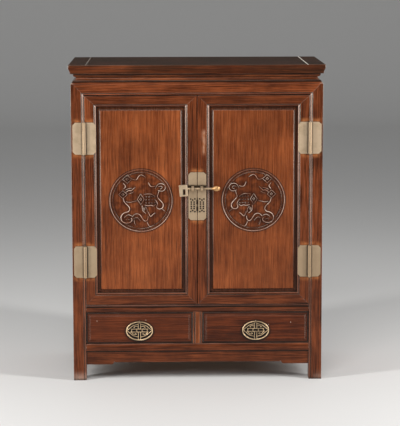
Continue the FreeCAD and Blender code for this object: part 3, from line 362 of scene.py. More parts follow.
# Figure of the brass
BLOTCHES, GRAINS = 24, 900  # to a metre
SCRATCH_WIDE, SCRATCH_LONG = 0.0006, 0.03  # metres
BRASS_EDGE, BRASS_CORNER = 0.0009, 0.009  # width of the bright edges, worn and painted highlight; reach of the dirt and painted shade in corners
BRIGHT_TONE, CORNER_TONE = 1.45, 0.06  # bright edges against the brass, dirt and painted shade against its tarnish
BRIGHTER, DULLER = -0.1, 0.14  # what scratches and film do to the roughness
METAL = 0.7  # the film leaves less than a full metal
TARNISHED, FILMED = (0.40, 0.72), (0.3, 1.0)  # ranges of noise of the film's colour and roughness
SCRATCH_FILM = 0.3  # share of the scratches in the roughness
SCRATCH_RISE, GRAIN_RISE = 0.6, 0.4  # shares of scratches and grains in the bump
BRASS_BUMP, BRASS_DEPTH = 0.15, 0.0003  # strength and depth of the bump


def wood(name, axis, dark, light, settings, extra=None, wear=1.0, polish=0.26, gloss=0.2, groove=None,
         beaded=1, rounding=None):
    """Hardwood with streaks, bands, pores, clouds, fine lines, dust with painted shade in grooves, worn
    edges and painted highlights on beads and upright edges.

    The grain runs along axis. extra gets the tree before the dark grooves, the wear and the painted
    highlights are laid on, and may paint on it and set its wear. polish is the roughness and gloss the
    strength of reflections; groove is the reach of the dark grooves, beaded says how strong the painted
    highlight on thin forms is and rounding how wide the worn edges are.
    """
    tree = Tree(name, wear)
    chance = tree.add("ShaderNodeObjectInfo").outputs["Random"]
    shift = {side: tree.times(chance, far) for side, far in zip("XYZ", PIECE_SHIFT)}
    timber = tree.vector("ADD", tree.place, tree.add("ShaderNodeCombineXYZ", **shift).outputs[0])
    fibre, band = settings.fibre, settings.band

    def marks(across, along, **figure):
        return tree.noise(tree.grained(timber, axis, across, along), **figure)

    fibres = marks(fibre, fibre * FIBRE_LONG, detail=6, rough=0.65)
    bands = marks(band, band * BAND_LONG, distortion=0.8)
    pores = tree.fade(marks(fibre * PORE_WIDE, fibre * PORE_LONG, detail=2), *PORES)
    lines = marks(fibre * LINE_WIDE, fibre * LINE_LONG, detail=1)
    tree.patina = tree.noise(timber, scale=CLOUDS, detail=5, rough=0.6)

    streaks = tree.math("ADD", tree.times(fibres, FIBRE_SHARE), tree.times(bands, BAND_SHARE))
    middle = [(a + b) / 2 for a, b in zip(dark, light)]
    tree.shade = tree.ramp(streaks, list(zip(STREAK_STOPS, (dark, middle, light))))
    tree.paint(toned(dark, PORE_TONE), pores, strength=0.5)
    tree.tint(tree.ramp(tree.patina, list(zip(MOST, CLOUD_TONES))))
    tree.paint(toned(light, LINE_TONE), tree.fade(lines, *BRIGHT_LINES), strength=0.4)
    tree.paint(settings.grime, tree.fade(lines, *DARK_LINES), strength=0.5)
    if extra:
        extra(tree)

    soft = tree.rounded(rounding or settings.edge)
    edges = tree.edges(soft)
    # Grime and painted shade in grooves and corners, from ambient occlusion
    tree.paint(settings.grime, tree.hollows(groove or settings.groove), strength=0.94)
    # Worn edges, and a painted highlight on the flanks of beads
    kept = tree.times(tree.span(tree.patina, WEAR_CLOUDS, WEAR_SHARES), tree.wear)
    rubbed = tree.times(edges, tree.fade(fibres, *RUBBED_FIBRES), EDGE_STRENGTH)
    rubbed = tree.larger(rubbed, tree.times(tree.beads(settings.bead), beaded, BEAD_STRENGTH))
    tree.paint(settings.rubbed, rubbed, kept)
    # Painted highlight in pale wax colour along upright edges
    tilt = tree.parts(tree.vector("ABSOLUTE", soft))
    upright = tree.times(tree.fade(tilt["X"], *SIDEWAYS), tree.fade(tilt["Z"], *LEVEL))
    tree.paint(settings.filler, edges, upright, kept)

    tree.shader.inputs["Specular IOR Level"].default_value = gloss
    rough = tree.span(fibres, WIDE, (polish + SMOOTHER, polish + ROUGHER))
    rough = tree.math("ADD", rough, tree.times(pores, PORE_ROUGH))
    height = tree.math("SUBTRACT", tree.times(fibres, FIBRE_RISE), pores)
    return tree.finished(rough, height, soft, WOOD_BUMP, WOOD_DEPTH)


def brass(name, pale, tarnish, rough=0.42, extra=None):
    """Old cast brass: a thin film, fine scratches, bright edges that are worn and carry a painted
    highlight, corners darkened with dust and painted shade.

    extra gets the tree before the dark corners are laid on, and may paint on it.
    """
    tree = Tree(name)
    tree.patina = tree.noise(tree.place, scale=BLOTCHES, rough=0.6)
    grains = tree.noise(tree.place, scale=GRAINS, detail=2)
    scratches = tree.noise(tree.grained(tree.place, "X", SCRATCH_WIDE, SCRATCH_LONG), detail=2)
    soft = tree.rounded(BRASS_EDGE)
    tree.shade = pale
    tree.paint(tarnish, tree.fade(tree.patina, *TARNISHED), strength=0.55)
    # Bright edges: worn brass, and a painted highlight
    tree.paint(toned(pale, BRIGHT_TONE), tree.edges(soft), strength=0.65)
    if extra:
        extra(tree)
    # Corners darkened with dirt and painted shade
    tree.paint(toned(tarnish, CORNER_TONE), tree.hollows(BRASS_CORNER), strength=0.92)
    tree.shader.inputs["Metallic"].default_value = METAL
    film = tree.math("ADD", tree.patina, tree.times(scratches, SCRATCH_FILM))
    film = tree.span(film, FILMED, (rough + BRIGHTER, rough + DULLER))
    height = tree.math("ADD", tree.times(scratches, SCRATCH_RISE), tree.times(grains, GRAIN_RISE))
    return tree.finished(film, height, soft, BRASS_BUMP, BRASS_DEPTH)


# Piece helpers


def coat(names, material):
    """Gives CAD nodes a material in place of their own."""
    for name in names:
        mesh = NODES[name].data
        mesh.materials.clear()
        mesh.materials.append(material)


def new_piece(name, mesh, material, body):
    """Adds a finished mesh that rides on a body."""
    piece = bpy.data.objects.new(name, mesh)
    bpy.context.scene.collection.objects.link(piece)
    mesh.materials.clear()
    mesh.materials.append(material)
    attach(piece, body)
    return piece


def middle_and_half(box):
    """Middle of a box and half its size."""
    low, high = box
    return (low + high) / 2, (high - low) / 2


# Wood


class CABINET_OT_frame_wood(bpy.types.Operator):
    """Polished hardwood on posts, rails, stiles and mouldings"""

    bl_idname = "cabinet.frame_wood"
    bl_label = "Frame wood"

    HALO = 0.017  # how far the rubbed wood reaches past a metal plate
    SPOTS, SPOTTED = 55, (0.30, 0.62)  # bright spots in it: count to a metre, range of noise
    HALO_STRENGTH = 0.7
    HINGE_TALL = 0.1  # height of a hinge leaf
    FOOT = 0.036  # height of the scuffed ends of the legs
    FADED, DARK = 1.1, 0.84  # tone of the front top rail, and of the rails below it
    BEAD, JOINT = 0.006, 0.0034  # depth of the bead on the middle rail, half width of dirt in a joint
    JOINT_DIRT = (1, 0.85)  # strength of that dirt in dark and in light clouds
    WAIST_GROOVE, WAIST_JOINT = 0.005, 1.6 * JOINT  # reach of grime, half width of dirt
    SEAM = 0.006  # this near to the seam between the doors the edges get neither wear nor painted highlight
    ROUNDING = 0.0015  # of the edges of posts and stiles
    HIGH, LOW = 0.85, 0.3  # wear and painted highlights on edges are strongest above high and weakest below low
    HIGH_WEAR, LOW_WEAR = 1.4, 0.2
    RAIL_WEAR, DIVIDER_WEAR, WAIST_WEAR = 0.6, 0.4, 0.3
    POST_BEADS, PLAIN_BEADS = 1.5, 0.3  # strength of the painted highlight on thin forms
    # light scuff on the right lock stile: from the seam, above the lock plate, half height
    SCUFF_SIDE, SCUFF_ABOVE, SCUFF_TALL = 0.021, 0.094, 0.046

    def execute(self, context):
        s = context.scene.cabinet_wood
        leaves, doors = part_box("post_hinge_leaves"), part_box("left_door_hinge_leaves")
        pins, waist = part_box("hinge_pins"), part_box("waist_moulding")
        lock, lock_half = middle_and_half((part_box("left_lock_plate")[0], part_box("right_lock_plate")[1]))
        doors_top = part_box("left_door_top_rail")[1].z
        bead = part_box("front_middle_rail")[1].z - self.BEAD
        joints = (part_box("front_bottom_rail")[0].z, bead, waist[0].z)

        # Worn halos round the metal, a scuff, worn feet, and painted shade under the lock plate
        def rubbed(tree):
            handled = tree.span(tree.z, (self.LOW, self.HIGH), (self.LOW_WEAR, self.HIGH_WEAR))
            seam = tree.math("ABSOLUTE", tree.x)
            tree.wear = tree.times(handled, tree.fade(seam, self.SEAM, 2 * self.SEAM))
            halo = tree.patch(lock, lock_half.x, lock_half.z + self.HALO, self.HALO)
            wide, half = doors[1].x - pins[0].x, self.HINGE_TALL / 2
            for x in (pins[0].x, pins[1].x):
                for z in (leaves[0].z + half, leaves[1].z - half):
                    halo = tree.larger(halo, tree.patch((x, 0, z), wide, half + self.HALO, self.HALO))
            spots = tree.fade(tree.noise(tree.place, scale=self.SPOTS), *self.SPOTTED)
            ahead = tree.ahead(leaves[1].y, self.HALO)
            tree.paint(s.worn, tree.times(halo, spots, self.HALO_STRENGTH), ahead)
            # Painted shade on the wood under the lock plate, which shows through its holes
            tree.paint(s.grime, tree.patch(lock, lock_half.x, lock_half.z), ahead, strength=0.9)
            scuff = (self.SCUFF_SIDE, 0, lock.z + lock_half.z + self.SCUFF_ABOVE)
            scuff = tree.patch(scuff, self.SCUFF_SIDE / 2, self.SCUFF_TALL, self.SCUFF_SIDE)
            scuff = tree.times(scuff, ahead)
            tree.paint(s.worn, scuff)
            streaks = tree.noise(tree.grained(tree.place, "Z", 2 * s.fibre, self.SCUFF_TALL / 2))
            tree.paint(s.rubbed, scuff, tree.fade(streaks, *CORE), strength=0.55)
            foot = tree.fade(tree.z, self.FOOT, 0)
            tree.paint(s.rubbed, foot, tree.fade(tree.patina, *MOST), strength=0.45)

        def jointed(tree):
            below = tree.fade(tree.z, waist[0].z, waist[0].z - 3 * self.JOINT)
            tree.wear = tree.times(below, self.RAIL_WEAR)
            # Front top rail lighter, the rails below it darker
            tree.tint(tree.span(tree.z, (doors_top, doors_top + self.JOINT), (self.DARK, self.FADED)))
            for line in joints:
                dirt = tree.fade(tree.gap(tree.z, line), self.JOINT, self.JOINT / 2)
                tree.paint(s.grime, dirt, tree.span(tree.patina, MOST, self.JOINT_DIRT))

        def waxed(tree):
            for corner in waist:
                dirt = tree.fade(tree.gap(tree.z, corner.z), self.WAIST_JOINT, self.JOINT)
                tree.paint(s.grime, dirt, strength=0.8)

        def frame_wood(name, axis, light=s.frame_light, **finish):
            return wood(name, axis, s.frame_dark, light, s, **finish)

        coat(UPRIGHTS, frame_wood(
            "upright_wood", "Z", extra=rubbed, beaded=self.POST_BEADS, rounding=self.ROUNDING))
        coat(["drawer_divider"], frame_wood(
            "divider_wood", "Z", s.panel_light, wear=self.DIVIDER_WEAR, beaded=self.PLAIN_BEADS))
        coat(LEVEL_RAILS, frame_wood("level_wood", "X", extra=jointed))
        coat(["waist_moulding"], frame_wood(
            "waist_wood", "X", s.panel_light, extra=waxed, wear=self.WAIST_WEAR, groove=self.WAIST_GROOVE))
        coat(DEEP_RAILS, frame_wood("deep_wood", "Y", beaded=self.PLAIN_BEADS))
        return {"FINISHED"}


class CABINET_OT_top_wood(bpy.types.Operator):
    """Dulled upper side of the top, darkened by a film with painted dark reflection, with pale lines of wax
    and painted highlight where the panel meets the ends
    """

    bl_idname = "cabinet.top_wood"
    bl_label = "Top wood"

    JOINT = 0.0022  # half width of the pale line
    TONE = 0.75  # of the light streaks
    POLISH, GLOSS = 0.55, 0.08
    STREAK_WIDE, STREAK_LONG = 0.5, 12  # streaks in the film, in widths of a band
    FLAT, TILTED = (0.6, 0.95), (0.95, 0.6)  # ranges of how far a face looks up
    CLOUD_FILM, STREAK_FILM = (1, 0.8), (0.97, 0.72)  # strength of the film and painted dark reflection by clouds and streaks
    EDGE_STREAKS, EDGE_FILM = (0.4, 0.6), (0.5, 0)  # the film and painted dark reflection on the mouldings, by streaks
    LEFT_LINE, RIGHT_LINE = 0.25, 1  # strength of the pale lines of wax and painted highlight

    def execute(self, context):
        s = context.scene.cabinet_wood
        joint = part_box("top_panel")[1].x

        def dulled(tree):
            up = tree.parts(tree.normal)["Z"]
            flat = tree.fade(up, *self.FLAT)
            tree.wear = tree.fade(up, *self.TILTED)
            streaks = tree.grained(tree.place, "X", s.band * self.STREAK_WIDE, s.band * self.STREAK_LONG)
            streaks = tree.noise(streaks)
            film = tree.span(tree.patina, WIDE, self.CLOUD_FILM)
            film = tree.times(film, tree.span(streaks, CORE, self.STREAK_FILM))
            # Dark film with painted dark reflection on the upward faces, streaked on the mouldings
            tree.paint(s.top_film, flat, film)
            tree.paint(s.top_film, tree.span(streaks, self.EDGE_STREAKS, self.EDGE_FILM), tree.wear)
            # Pale lines of wax and painted highlight where the panel meets the ends, brighter on the right
            off = tree.gap(tree.math("ABSOLUTE", tree.x), joint)
            line = tree.fade(off, self.JOINT, self.JOINT / 2)
            filled = tree.span(tree.x, (-joint, joint), (self.LEFT_LINE, self.RIGHT_LINE))
            tree.paint(s.filler, line, flat, filled)

        light = toned(s.frame_light, self.TONE)
        for names, name, axis in ((TOP_LEVEL, "top_level_wood", "X"), (TOP_DEEP, "top_deep_wood", "Y")):
            coat(names, wood(
                name, axis, s.frame_dark, light, s, extra=dulled, polish=self.POLISH, gloss=self.GLOSS))
        return {"FINISHED"}


class CABINET_OT_panel_wood(bpy.types.Operator):
    """Lighter, redder hardwood on the door panels and sides"""

    bl_idname = "cabinet.panel_wood"
    bl_label = "Panel wood"

    RING, RING_HALF = 0.0973, 0.0017  # bead round the medallion: radius and half width
    RING_FADE = 4 * RING_HALF  # how softly the finish changes beside it
    RING_DIRT = 1.8 * RING_HALF  # from the bead's crown to the painted shade on both sides
    ROUNDING = 0.0036  # of the edges of the raised fields
    HIGH, LOW = 0.8, 0.3  # wear and painted highlights on these edges are strongest above high and absent below low
    RING_CROWN = (0.6 * RING_HALF, 0.2 * RING_HALF)  # range of the crown that gets a painted highlight
    LOWER_BEAD, UPPER_BEAD = 0.85, 0.1  # strength of the painted highlight on the bead below its middle and at its top
    SPOTS, SPOTTED, SPOT_SHARES = 60, (0.38, 0.62), (0.72, 0.05)  # dark spots on the sunk ground
    GLINTS, GLINTING, GLINT_SHARES = 30, (0.35, 0.6), (0.4, 1)  # bright stretches along the bead
    SIDE_BEADS = 0.3  # strength of the painted highlight on thin forms of the sides

    def execute(self, context):
        s = context.scene.cabinet_wood
        low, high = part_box("right_door_panel")
        middle = (low + high) / 2

        def ringed(tree):
            tree.paint(s.panel_dark, tree.fade(tree.x, -low.x, low.x), strength=0.22)
            near = tree.vector("SUBTRACT", tree.vector("ABSOLUTE", tree.place), (middle.x, 0, middle.z))
            radius = tree.vector("LENGTH", tree.vector("MULTIPLY", near, (1, 0, 1)))
            outside = tree.fade(radius, self.RING, self.RING + self.RING_FADE)
            tree.wear = tree.times(tree.span(tree.z, (self.LOW, self.HIGH), (0, 1)), outside)
            inside = tree.fade(radius, self.RING, self.RING - self.RING_FADE)
            ahead = tree.ahead(middle.y, high.y - middle.y)
            spots = tree.noise(tree.place, scale=self.SPOTS)
            spots = tree.span(spots, self.SPOTTED, self.SPOT_SHARES)
            tree.paint(s.drawer_dark, inside, ahead, spots)
            off = tree.gap(radius, self.RING)
            # Painted shade on both sides of the bead
            beside = tree.fade(tree.gap(off, self.RING_DIRT), self.RING_HALF, self.RING_HALF / 3)
            tree.paint(s.grime, beside, ahead, strength=0.8)
            # Painted highlight on the crown of the bead, strongest low on the ring and in bright stretches
            crown = tree.fade(off, *self.RING_CROWN)
            lit = tree.parts(near)["Z"]
            lit = tree.span(lit, (-self.RING / 2, self.RING), (self.LOWER_BEAD, self.UPPER_BEAD))
            glints = tree.noise(tree.place, scale=self.GLINTS)
            glints = tree.span(glints, self.GLINTING, self.GLINT_SHARES)
            tree.paint(s.rubbed, crown, tree.times(lit, glints), ahead)

        coat(DOOR_PANELS, wood("door_panel_wood", "Z", s.panel_dark, s.panel_light, s, extra=ringed,
                               beaded=0, rounding=self.ROUNDING))
        coat(SIDE_PANELS, wood("side_panel_wood", "Z", s.panel_dark, s.panel_light, s,
                               beaded=self.SIDE_BEADS))
        return {"FINISHED"}


class CABINET_OT_drawer_wood(bpy.types.Operator):
    """Darker drawer fronts with a few pale specks"""

    bl_idname = "cabinet.drawer_wood"
    bl_label = "Drawer wood"

    CELL, SPECK = 0.075, 0.0016  # spacing and radius of the specks
    GROOVE, RIM = 0.018, 0.006  # reach of grime and painted shade, width of the dark rim of grime and painted shade
    SOME_CELLS = (0.6, 0.7)  # range of chance of the cells that have a speck
    DROP = 0.003  # how far the painted shadow behind a pull hangs under it
    DIRT = (1.2, 0.95)  # range of that painted shadow, in half sizes of the pull
    WEAR = 0.55

    def execute(self, context):
        s = context.scene.cabinet_wood
        pull, pull_half = middle_and_half(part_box("right_pull"))
        front, size = middle_and_half(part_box("right_drawer_front"))

        def specked(tree):
            tree.paint(s.drawer_light, tree.fade(tree.x, 0, size.x - front.x), strength=0.3)
            flat = tree.add("ShaderNodeCombineXYZ", X=tree.x, Y=tree.z).outputs[0]
            cells = tree.add("ShaderNodeTexVoronoi", {"voronoi_dimensions": "2D"}, Vector=flat,
                             Scale=1 / self.CELL).outputs
            speck = self.SPECK / self.CELL
            some = tree.fade(tree.parts(cells["Color"])["X"], *self.SOME_CELLS)
            tree.paint(s.rubbed, tree.fade(cells["Distance"], speck, speck / 2), some, strength=0.8)
            # Painted shadow round and under each pull
            ahead = tree.ahead(front.y, size.y)
            mirrored = tree.vector("ABSOLUTE", tree.place)
            off = tree.vector("SUBTRACT", mirrored, (pull.x, 0, pull.z - self.DROP))
            off = tree.vector("LENGTH", tree.vector("MULTIPLY", off, (1 / pull_half.x, 0, 1 / pull_half.z)))
            tree.paint(s.grime, tree.fade(off, *self.DIRT), ahead, strength=0.95)
            # Grime and painted shade along the rim of each front
            off = tree.parts(tree.vector("ABSOLUTE", tree.vector("SUBTRACT", mirrored, front)))
            ends = tree.fade(off["X"], size.x - self.RIM, size.x - self.RIM / 2)
            edges = tree.fade(off["Z"], size.z - self.RIM, size.z - self.RIM / 2)
            tree.paint(s.grime, tree.larger(ends, edges), ahead, strength=0.85)

        coat(DRAWER_FRONTS, wood("drawer_wood", "X", s.drawer_dark, s.drawer_light, s, extra=specked,
                                 wear=self.WEAR, groove=self.GROOVE))
        return {"FINISHED"}


class CABINET_OT_inner_wood(bpy.types.Operator):
    """Bare planed wood on shelf, floor, runners and drawer boxes, and the darker back"""

    bl_idname = "cabinet.inner_wood"
    bl_label = "Inner wood"

    POLISH = 0.6
    BACK_TONE = 0.6  # of the back's dark streaks against those of the door panels

    def execute(self, context):
        s = context.scene.cabinet_wood
        back_dark = toned(s.panel_dark, self.BACK_TONE)
        for names, name, axis, dark, light in (
            (INNER_LEVEL, "inner_level_wood", "X", s.inner_dark, s.inner_light),
            (INNER_DEEP, "inner_deep_wood", "Y", s.inner_dark, s.inner_light),
            (["back_panels"], "back_panel_wood", "Z", back_dark, s.inner_dark),
        ):
            coat(names, wood(name, axis, dark, light, s, polish=self.POLISH))
        return {"FINISHED"}


# Fittings


class CABINET_OT_brass(bpy.types.Operator):
    """Pale worn brass on hinges, lock and padlock"""

    bl_idname = "cabinet.brass"
    bl_label = "Brass fittings"

    AGED_BELOW = 0.25  # this far under the lock pin the plates are fully aged
    AGED_LEFT, AGED_RIGHT, AGED_LOCK = 0.6, 0.78, 0.45  # strength of the film on the aged plates
    BARREL, SEAM = 0.0058, 0.0016  # radius of the knuckles, half width of the painted shadow beside them
    FRET_BELOW, FRET_TALL = 0.054, 0.028  # from the pin down to the pierced part, its half height
    FRET_RIM, FRET_DIRT = 0.002, (0.12, 0.95)  # painted shade round each hole: reach, strength off it and on it
    PIN_DIRT, SEAM_DIRT = 0.95, 0.85  # strength of the painted shadow behind the lock pin and in the seams beside the hinge barrels
    SLOT_DROP, SLOT_HALF, SLOT_TALL = 0.004, 0.0055, 0.0105  # painted shade round the padlock's slot
    DIRT_TONE, SLOT_TONE = 0.3, 0.2  # of the painted shade against the deep tarnish
    PIN_ROUGH = 0.34

    def execute(self, context):
        s = context.scene.cabinet_brass
        pin, pin_half = middle_and_half(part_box("lock_pin"))
        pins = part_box("hinge_pins")
        hinge = pins[1].x - (pins[1].y - pins[0].y) / 2
        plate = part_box("right_lock_plate")[1].x
        padlock = middle_and_half(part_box("padlock"))[0]

        def aged(tree):
            low = tree.fade(tree.z, pin.z, pin.z - self.AGED_BELOW)
            right = tree.fade(tree.x, 0, hinge)
            low = tree.times(low, tree.span(right, (0, 1), (self.AGED_LEFT, self.AGED_RIGHT)))
            lock = tree.patch((0, 0, pin.z), plate + self.SEAM, self.AGED_BELOW)
            tree.paint(s.tarnish, tree.larger(low, tree.times(lock, self.AGED_LOCK)))
            off = tree.math("SUBTRACT", hinge, tree.math("ABSOLUTE", tree.x))
            barrel = tree.fade(tree.math("ABSOLUTE", off), self.BARREL, self.BARREL / 2)
            tree.paint(s.tarnish, barrel, strength=0.6)
            # Painted shadow behind the lock pin and beside the hinge barrels, and painted shade round the
            # fret holes
            pin_top = pin + Vector((0, 0, pin_half.z))
            behind = tree.patch(pin_top, pin_half.x, 3 * pin_half.z, 2 * pin_half.z)
            seam = tree.fade(tree.gap(off, self.BARREL), self.SEAM, self.SEAM / 2)
            dirt = tree.larger(tree.times(behind, self.PIN_DIRT), tree.times(seam, self.SEAM_DIRT))
            fret = tree.patch((0, 0, pin.z - self.FRET_BELOW), plate, self.FRET_TALL, plate / 3)
            rims = tree.span(tree.edges(tree.rounded(self.FRET_RIM)), (0, 1), self.FRET_DIRT)
            tree.paint(toned(s.deep, self.DIRT_TONE), tree.larger(dirt, tree.times(fret, rims)))

        def slotted(tree):
            # Painted shade in and round the padlock's slot
            slot = padlock + Vector((self.SLOT_DROP / 2, 0, -self.SLOT_DROP))
            dirt = tree.patch(slot, self.SLOT_HALF, self.SLOT_TALL, self.SLOT_HALF / 2)
            tree.paint(toned(s.deep, self.SLOT_TONE), dirt, strength=0.9)

        coat(PLATES, brass("pale_brass", s.pale, s.tarnish, extra=aged))
        coat(["padlock"], brass("padlock_brass", s.pale, s.deep, extra=slotted))
        coat(PINS_AND_STAPLES, brass("dull_brass", s.dull, s.deep, self.PIN_ROUGH))
        return {"FINISHED"}


class CABINET_OT_bud(bpy.types.Operator):
    """Lobed bud at the end of the lock pin"""

    bl_idname = "cabinet.bud"
    bl_label = "Lock pin bud"

    # place along the bud, radius and depth of the furrows, as shares
    PROFILE_SHARES = [
        (0.0, 0.40, 0), (0.04, 0.5, 0), (0.08, 0.5, 0), (0.12, 0.42, 0), (0.18, 0.5, 0.2),
        (0.28, 0.74, 0.6), (0.40, 0.94, 1), (0.52, 1, 1), (0.64, 0.96, 1), (0.76, 0.82, 1),
        (0.87, 0.62, 1), (0.95, 0.42, 0.6), (1, 0.2, 0),
    ]
    FURROW_SHARE = 0.09
    FIT_SHARE = 0.998  # keeps the bud just inside its CAD node
    STEPS = 8  # from one furrow to the next
    TARNISH_TONE, ROUGH = 0.45, 0.36

    def execute(self, context):
        s = context.scene.cabinet_brass
        low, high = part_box("lock_pin_bud")
        middle, half = middle_and_half((low, high))
        count = s.petals * self.STEPS
        bm = bmesh.new()
        rings = []
        for along, out, depth in self.PROFILE_SHARES:
            ring = []
            for n in range(count):
                turn = 2 * math.pi * n / count
                furrow = self.FURROW_SHARE * depth * (1 - math.cos(s.petals * turn))
                r = self.FIT_SHARE * half.y * out * (1 - furrow)
                x = low.x + along * (high.x - low.x)
                ring.append(bm.verts.new((x, middle.y - r * math.cos(turn), middle.z + r * math.sin(turn))))
            rings.append(ring)
        for a, b in zip(rings, rings[1:]):
            for n in range(count):
                bm.faces.new((a[n - 1], a[n], b[n], b[n - 1]))
        bm.faces.new(rings[0])
        bm.faces.new(rings[-1])
        bmesh.ops.recalc_face_normals(bm, faces=bm.faces)
        for face in bm.faces:
            face.smooth = True
        mesh = bpy.data.meshes.new("lock_bud")
        bm.to_mesh(mesh)
        bm.free()
        gilt = brass("gilt_brass", s.gilt, toned(s.gilt, self.TARNISH_TONE), self.ROUGH)
        piece = new_piece("lock_bud", mesh, gilt, "lock_pin")
        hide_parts("lock_pin_bud")
        return {"FINISHED"}


# Carving

# Ribbons of the carved dragon on the left door, in shares of the ground's radius: half width at the
# start, in the middle and at the end of a ribbon, then its points from the middle of the ground
RIBBON_SHARES = [
    # crest, from the upper square scroll
    ((0.014, 0.022, 0.014), [(-0.33, 0.76), (-0.19, 0.71), (-0.13, 0.75), (-0.10, 0.83), (-0.03, 0.90),
                             (0.06, 0.90), (0.16, 0.81)]),
    ((0.020, 0.024, 0.018), [(-0.62, 0.61), (-0.53, 0.52), (-0.55, 0.46), (-0.61, 0.40)]),
    # jaw and mane
    ((0.018, 0.024, 0.014), [(-0.53, 0.28), (-0.43, 0.37), (-0.33, 0.33), (-0.29, 0.40), (-0.20, 0.47)]),
    ((0.014, 0.018, 0.012), [(-0.53, 0.37), (-0.43, 0.44), (-0.32, 0.43)]),
    ((0.012, 0.016, 0.012), [(-0.42, 0.24), (-0.33, 0.25), (-0.26, 0.31)]),
    # neck and hind leg with its scroll
    ((0.020, 0.028, 0.022), [(-0.62, 0.09), (-0.60, -0.05), (-0.50, -0.14), (-0.42, -0.22), (-0.39, -0.31),
                             (-0.44, -0.40), (-0.56, -0.42), (-0.66, -0.48), (-0.72, -0.61), (-0.67, -0.75),
                             (-0.52, -0.81), (-0.37, -0.77), (-0.30, -0.68), (-0.35, -0.62)]),
    ((0.014, 0.020, 0.014), [(-0.59, -0.60), (-0.50, -0.51), (-0.40, -0.50), (-0.33, -0.55)]),
    ((0.012, 0.016, 0.012), [(-0.54, -0.68), (-0.47, -0.63), (-0.42, -0.68)]),
    ((0.012, 0.016, 0.012), [(-0.52, -0.04), (-0.40, -0.08), (-0.28, -0.04), (-0.15, -0.01)]),
    # waves along the foot
    ((0.014, 0.024, 0.018), [(-0.31, -0.58), (-0.25, -0.49), (-0.13, -0.46), (-0.03, -0.51), (0.02, -0.60),
                             (0.08, -0.70), (0.16, -0.74), (0.24, -0.67), (0.24, -0.56)]),
    ((0.012, 0.016, 0.012), [(-0.26, -0.64), (-0.18, -0.58), (-0.08, -0.64), (-0.03, -0.72)]),
    ((0.012, 0.018, 0.012), [(-0.24, -0.67), (-0.26, -0.78), (-0.19, -0.87)]),
    ((0.016, 0.020, 0.012), [(0.21, -0.76), (0.25, -0.89), (0.34, -0.94), (0.46, -0.86)]),
    # fore leg and claws
    ((0.018, 0.022, 0.016), [(0.04, -0.18), (0.03, -0.30), (0.09, -0.40), (0.17, -0.46)]),
    ((0.014, 0.018, 0.012), [(0.14, -0.22), (0.24, -0.31), (0.21, -0.41)]),
    ((0.018, 0.024, 0.014), [(0.25, -0.40), (0.30, -0.56), (0.36, -0.56), (0.41, -0.49), (0.49, -0.44)]),
    # back and tail
    ((0.012, 0.018, 0.012), [(0.09, 0.21), (0.25, 0.24), (0.40, 0.21), (0.49, 0.14)]),
    ((0.016, 0.020, 0.014), [(0.12, -0.16), (0.24, -0.20), (0.36, -0.16), (0.44, -0.22), (0.52, -0.13)]),
    ((0.018, 0.026, 0.018), [(0.63, 0.34), (0.60, 0.23), (0.56, 0.12), (0.65, 0.02), (0.75, -0.08),
                             (0.79, -0.19), (0.72, -0.30), (0.59, -0.31), (0.53, -0.22), (0.60, -0.11),
                             (0.50, 0.02)]),
    ((0.012, 0.016, 0.010), [(0.71, -0.28), (0.78, -0.33), (0.84, -0.39)]),
    # cloud at the upper right
    ((0.018, 0.024, 0.016), [(0.26, 0.64), (0.30, 0.51), (0.40, 0.47), (0.51, 0.51)]),
    ((0.016, 0.022, 0.016), [(0.50, 0.41), (0.55, 0.53), (0.65, 0.60), (0.79, 0.58), (0.87, 0.47),
                             (0.82, 0.35), (0.70, 0.31), (0.59, 0.36)]),
    ((0.012, 0.018, 0.012), [(0.60, 0.48), (0.71, 0.52), (0.76, 0.43), (0.66, 0.39)]),
]
# Square scrolls: middle x, middle z, half width and half height
LOZENGE_SHARES = [
    (-0.48, 0.75, 0.16, 0.15), (-0.63, 0.21, 0.15, 0.14), (-0.01, 0.04, 0.12, 0.19),
    (0.10, -0.30, 0.04, 0.05),
]
LOZENGE_HALF_SHARE = 0.018
LOZENGE_RINGS_SHARES = [1, 0.28]
# Scales on the body: middle of the first, step to the next, half size
SCALES, SCALE_ROWS = 4, 3
SCALE_START_SHARES, SCALE_STEP_SHARES, SCALE_HALF_SHARE = (0.18, 0.13), (0.1, -0.11), 0.022
# Half of a section, out from its middle and up, as shares of half width and height
RIDGED_SHARES = [(0, 1), (0.25, 0.95), (0.6, 0.5), (1, 0.15), (1, 0)]
ROUNDED_SHARES = [(0, 1), (0.45, 0.94), (0.8, 0.66), (1, 0.25), (1, 0)]
# Inputs of the tree that sweeps ribbons
RIBBON_INPUTS = {
    "Geometry": "NodeSocketGeometry", "Section": "NodeSocketObject", "Height": "NodeSocketFloat",
    "Full width": "NodeSocketFloat", "Place": "NodeSocketVector", "Material": "NodeSocketMaterial",
}


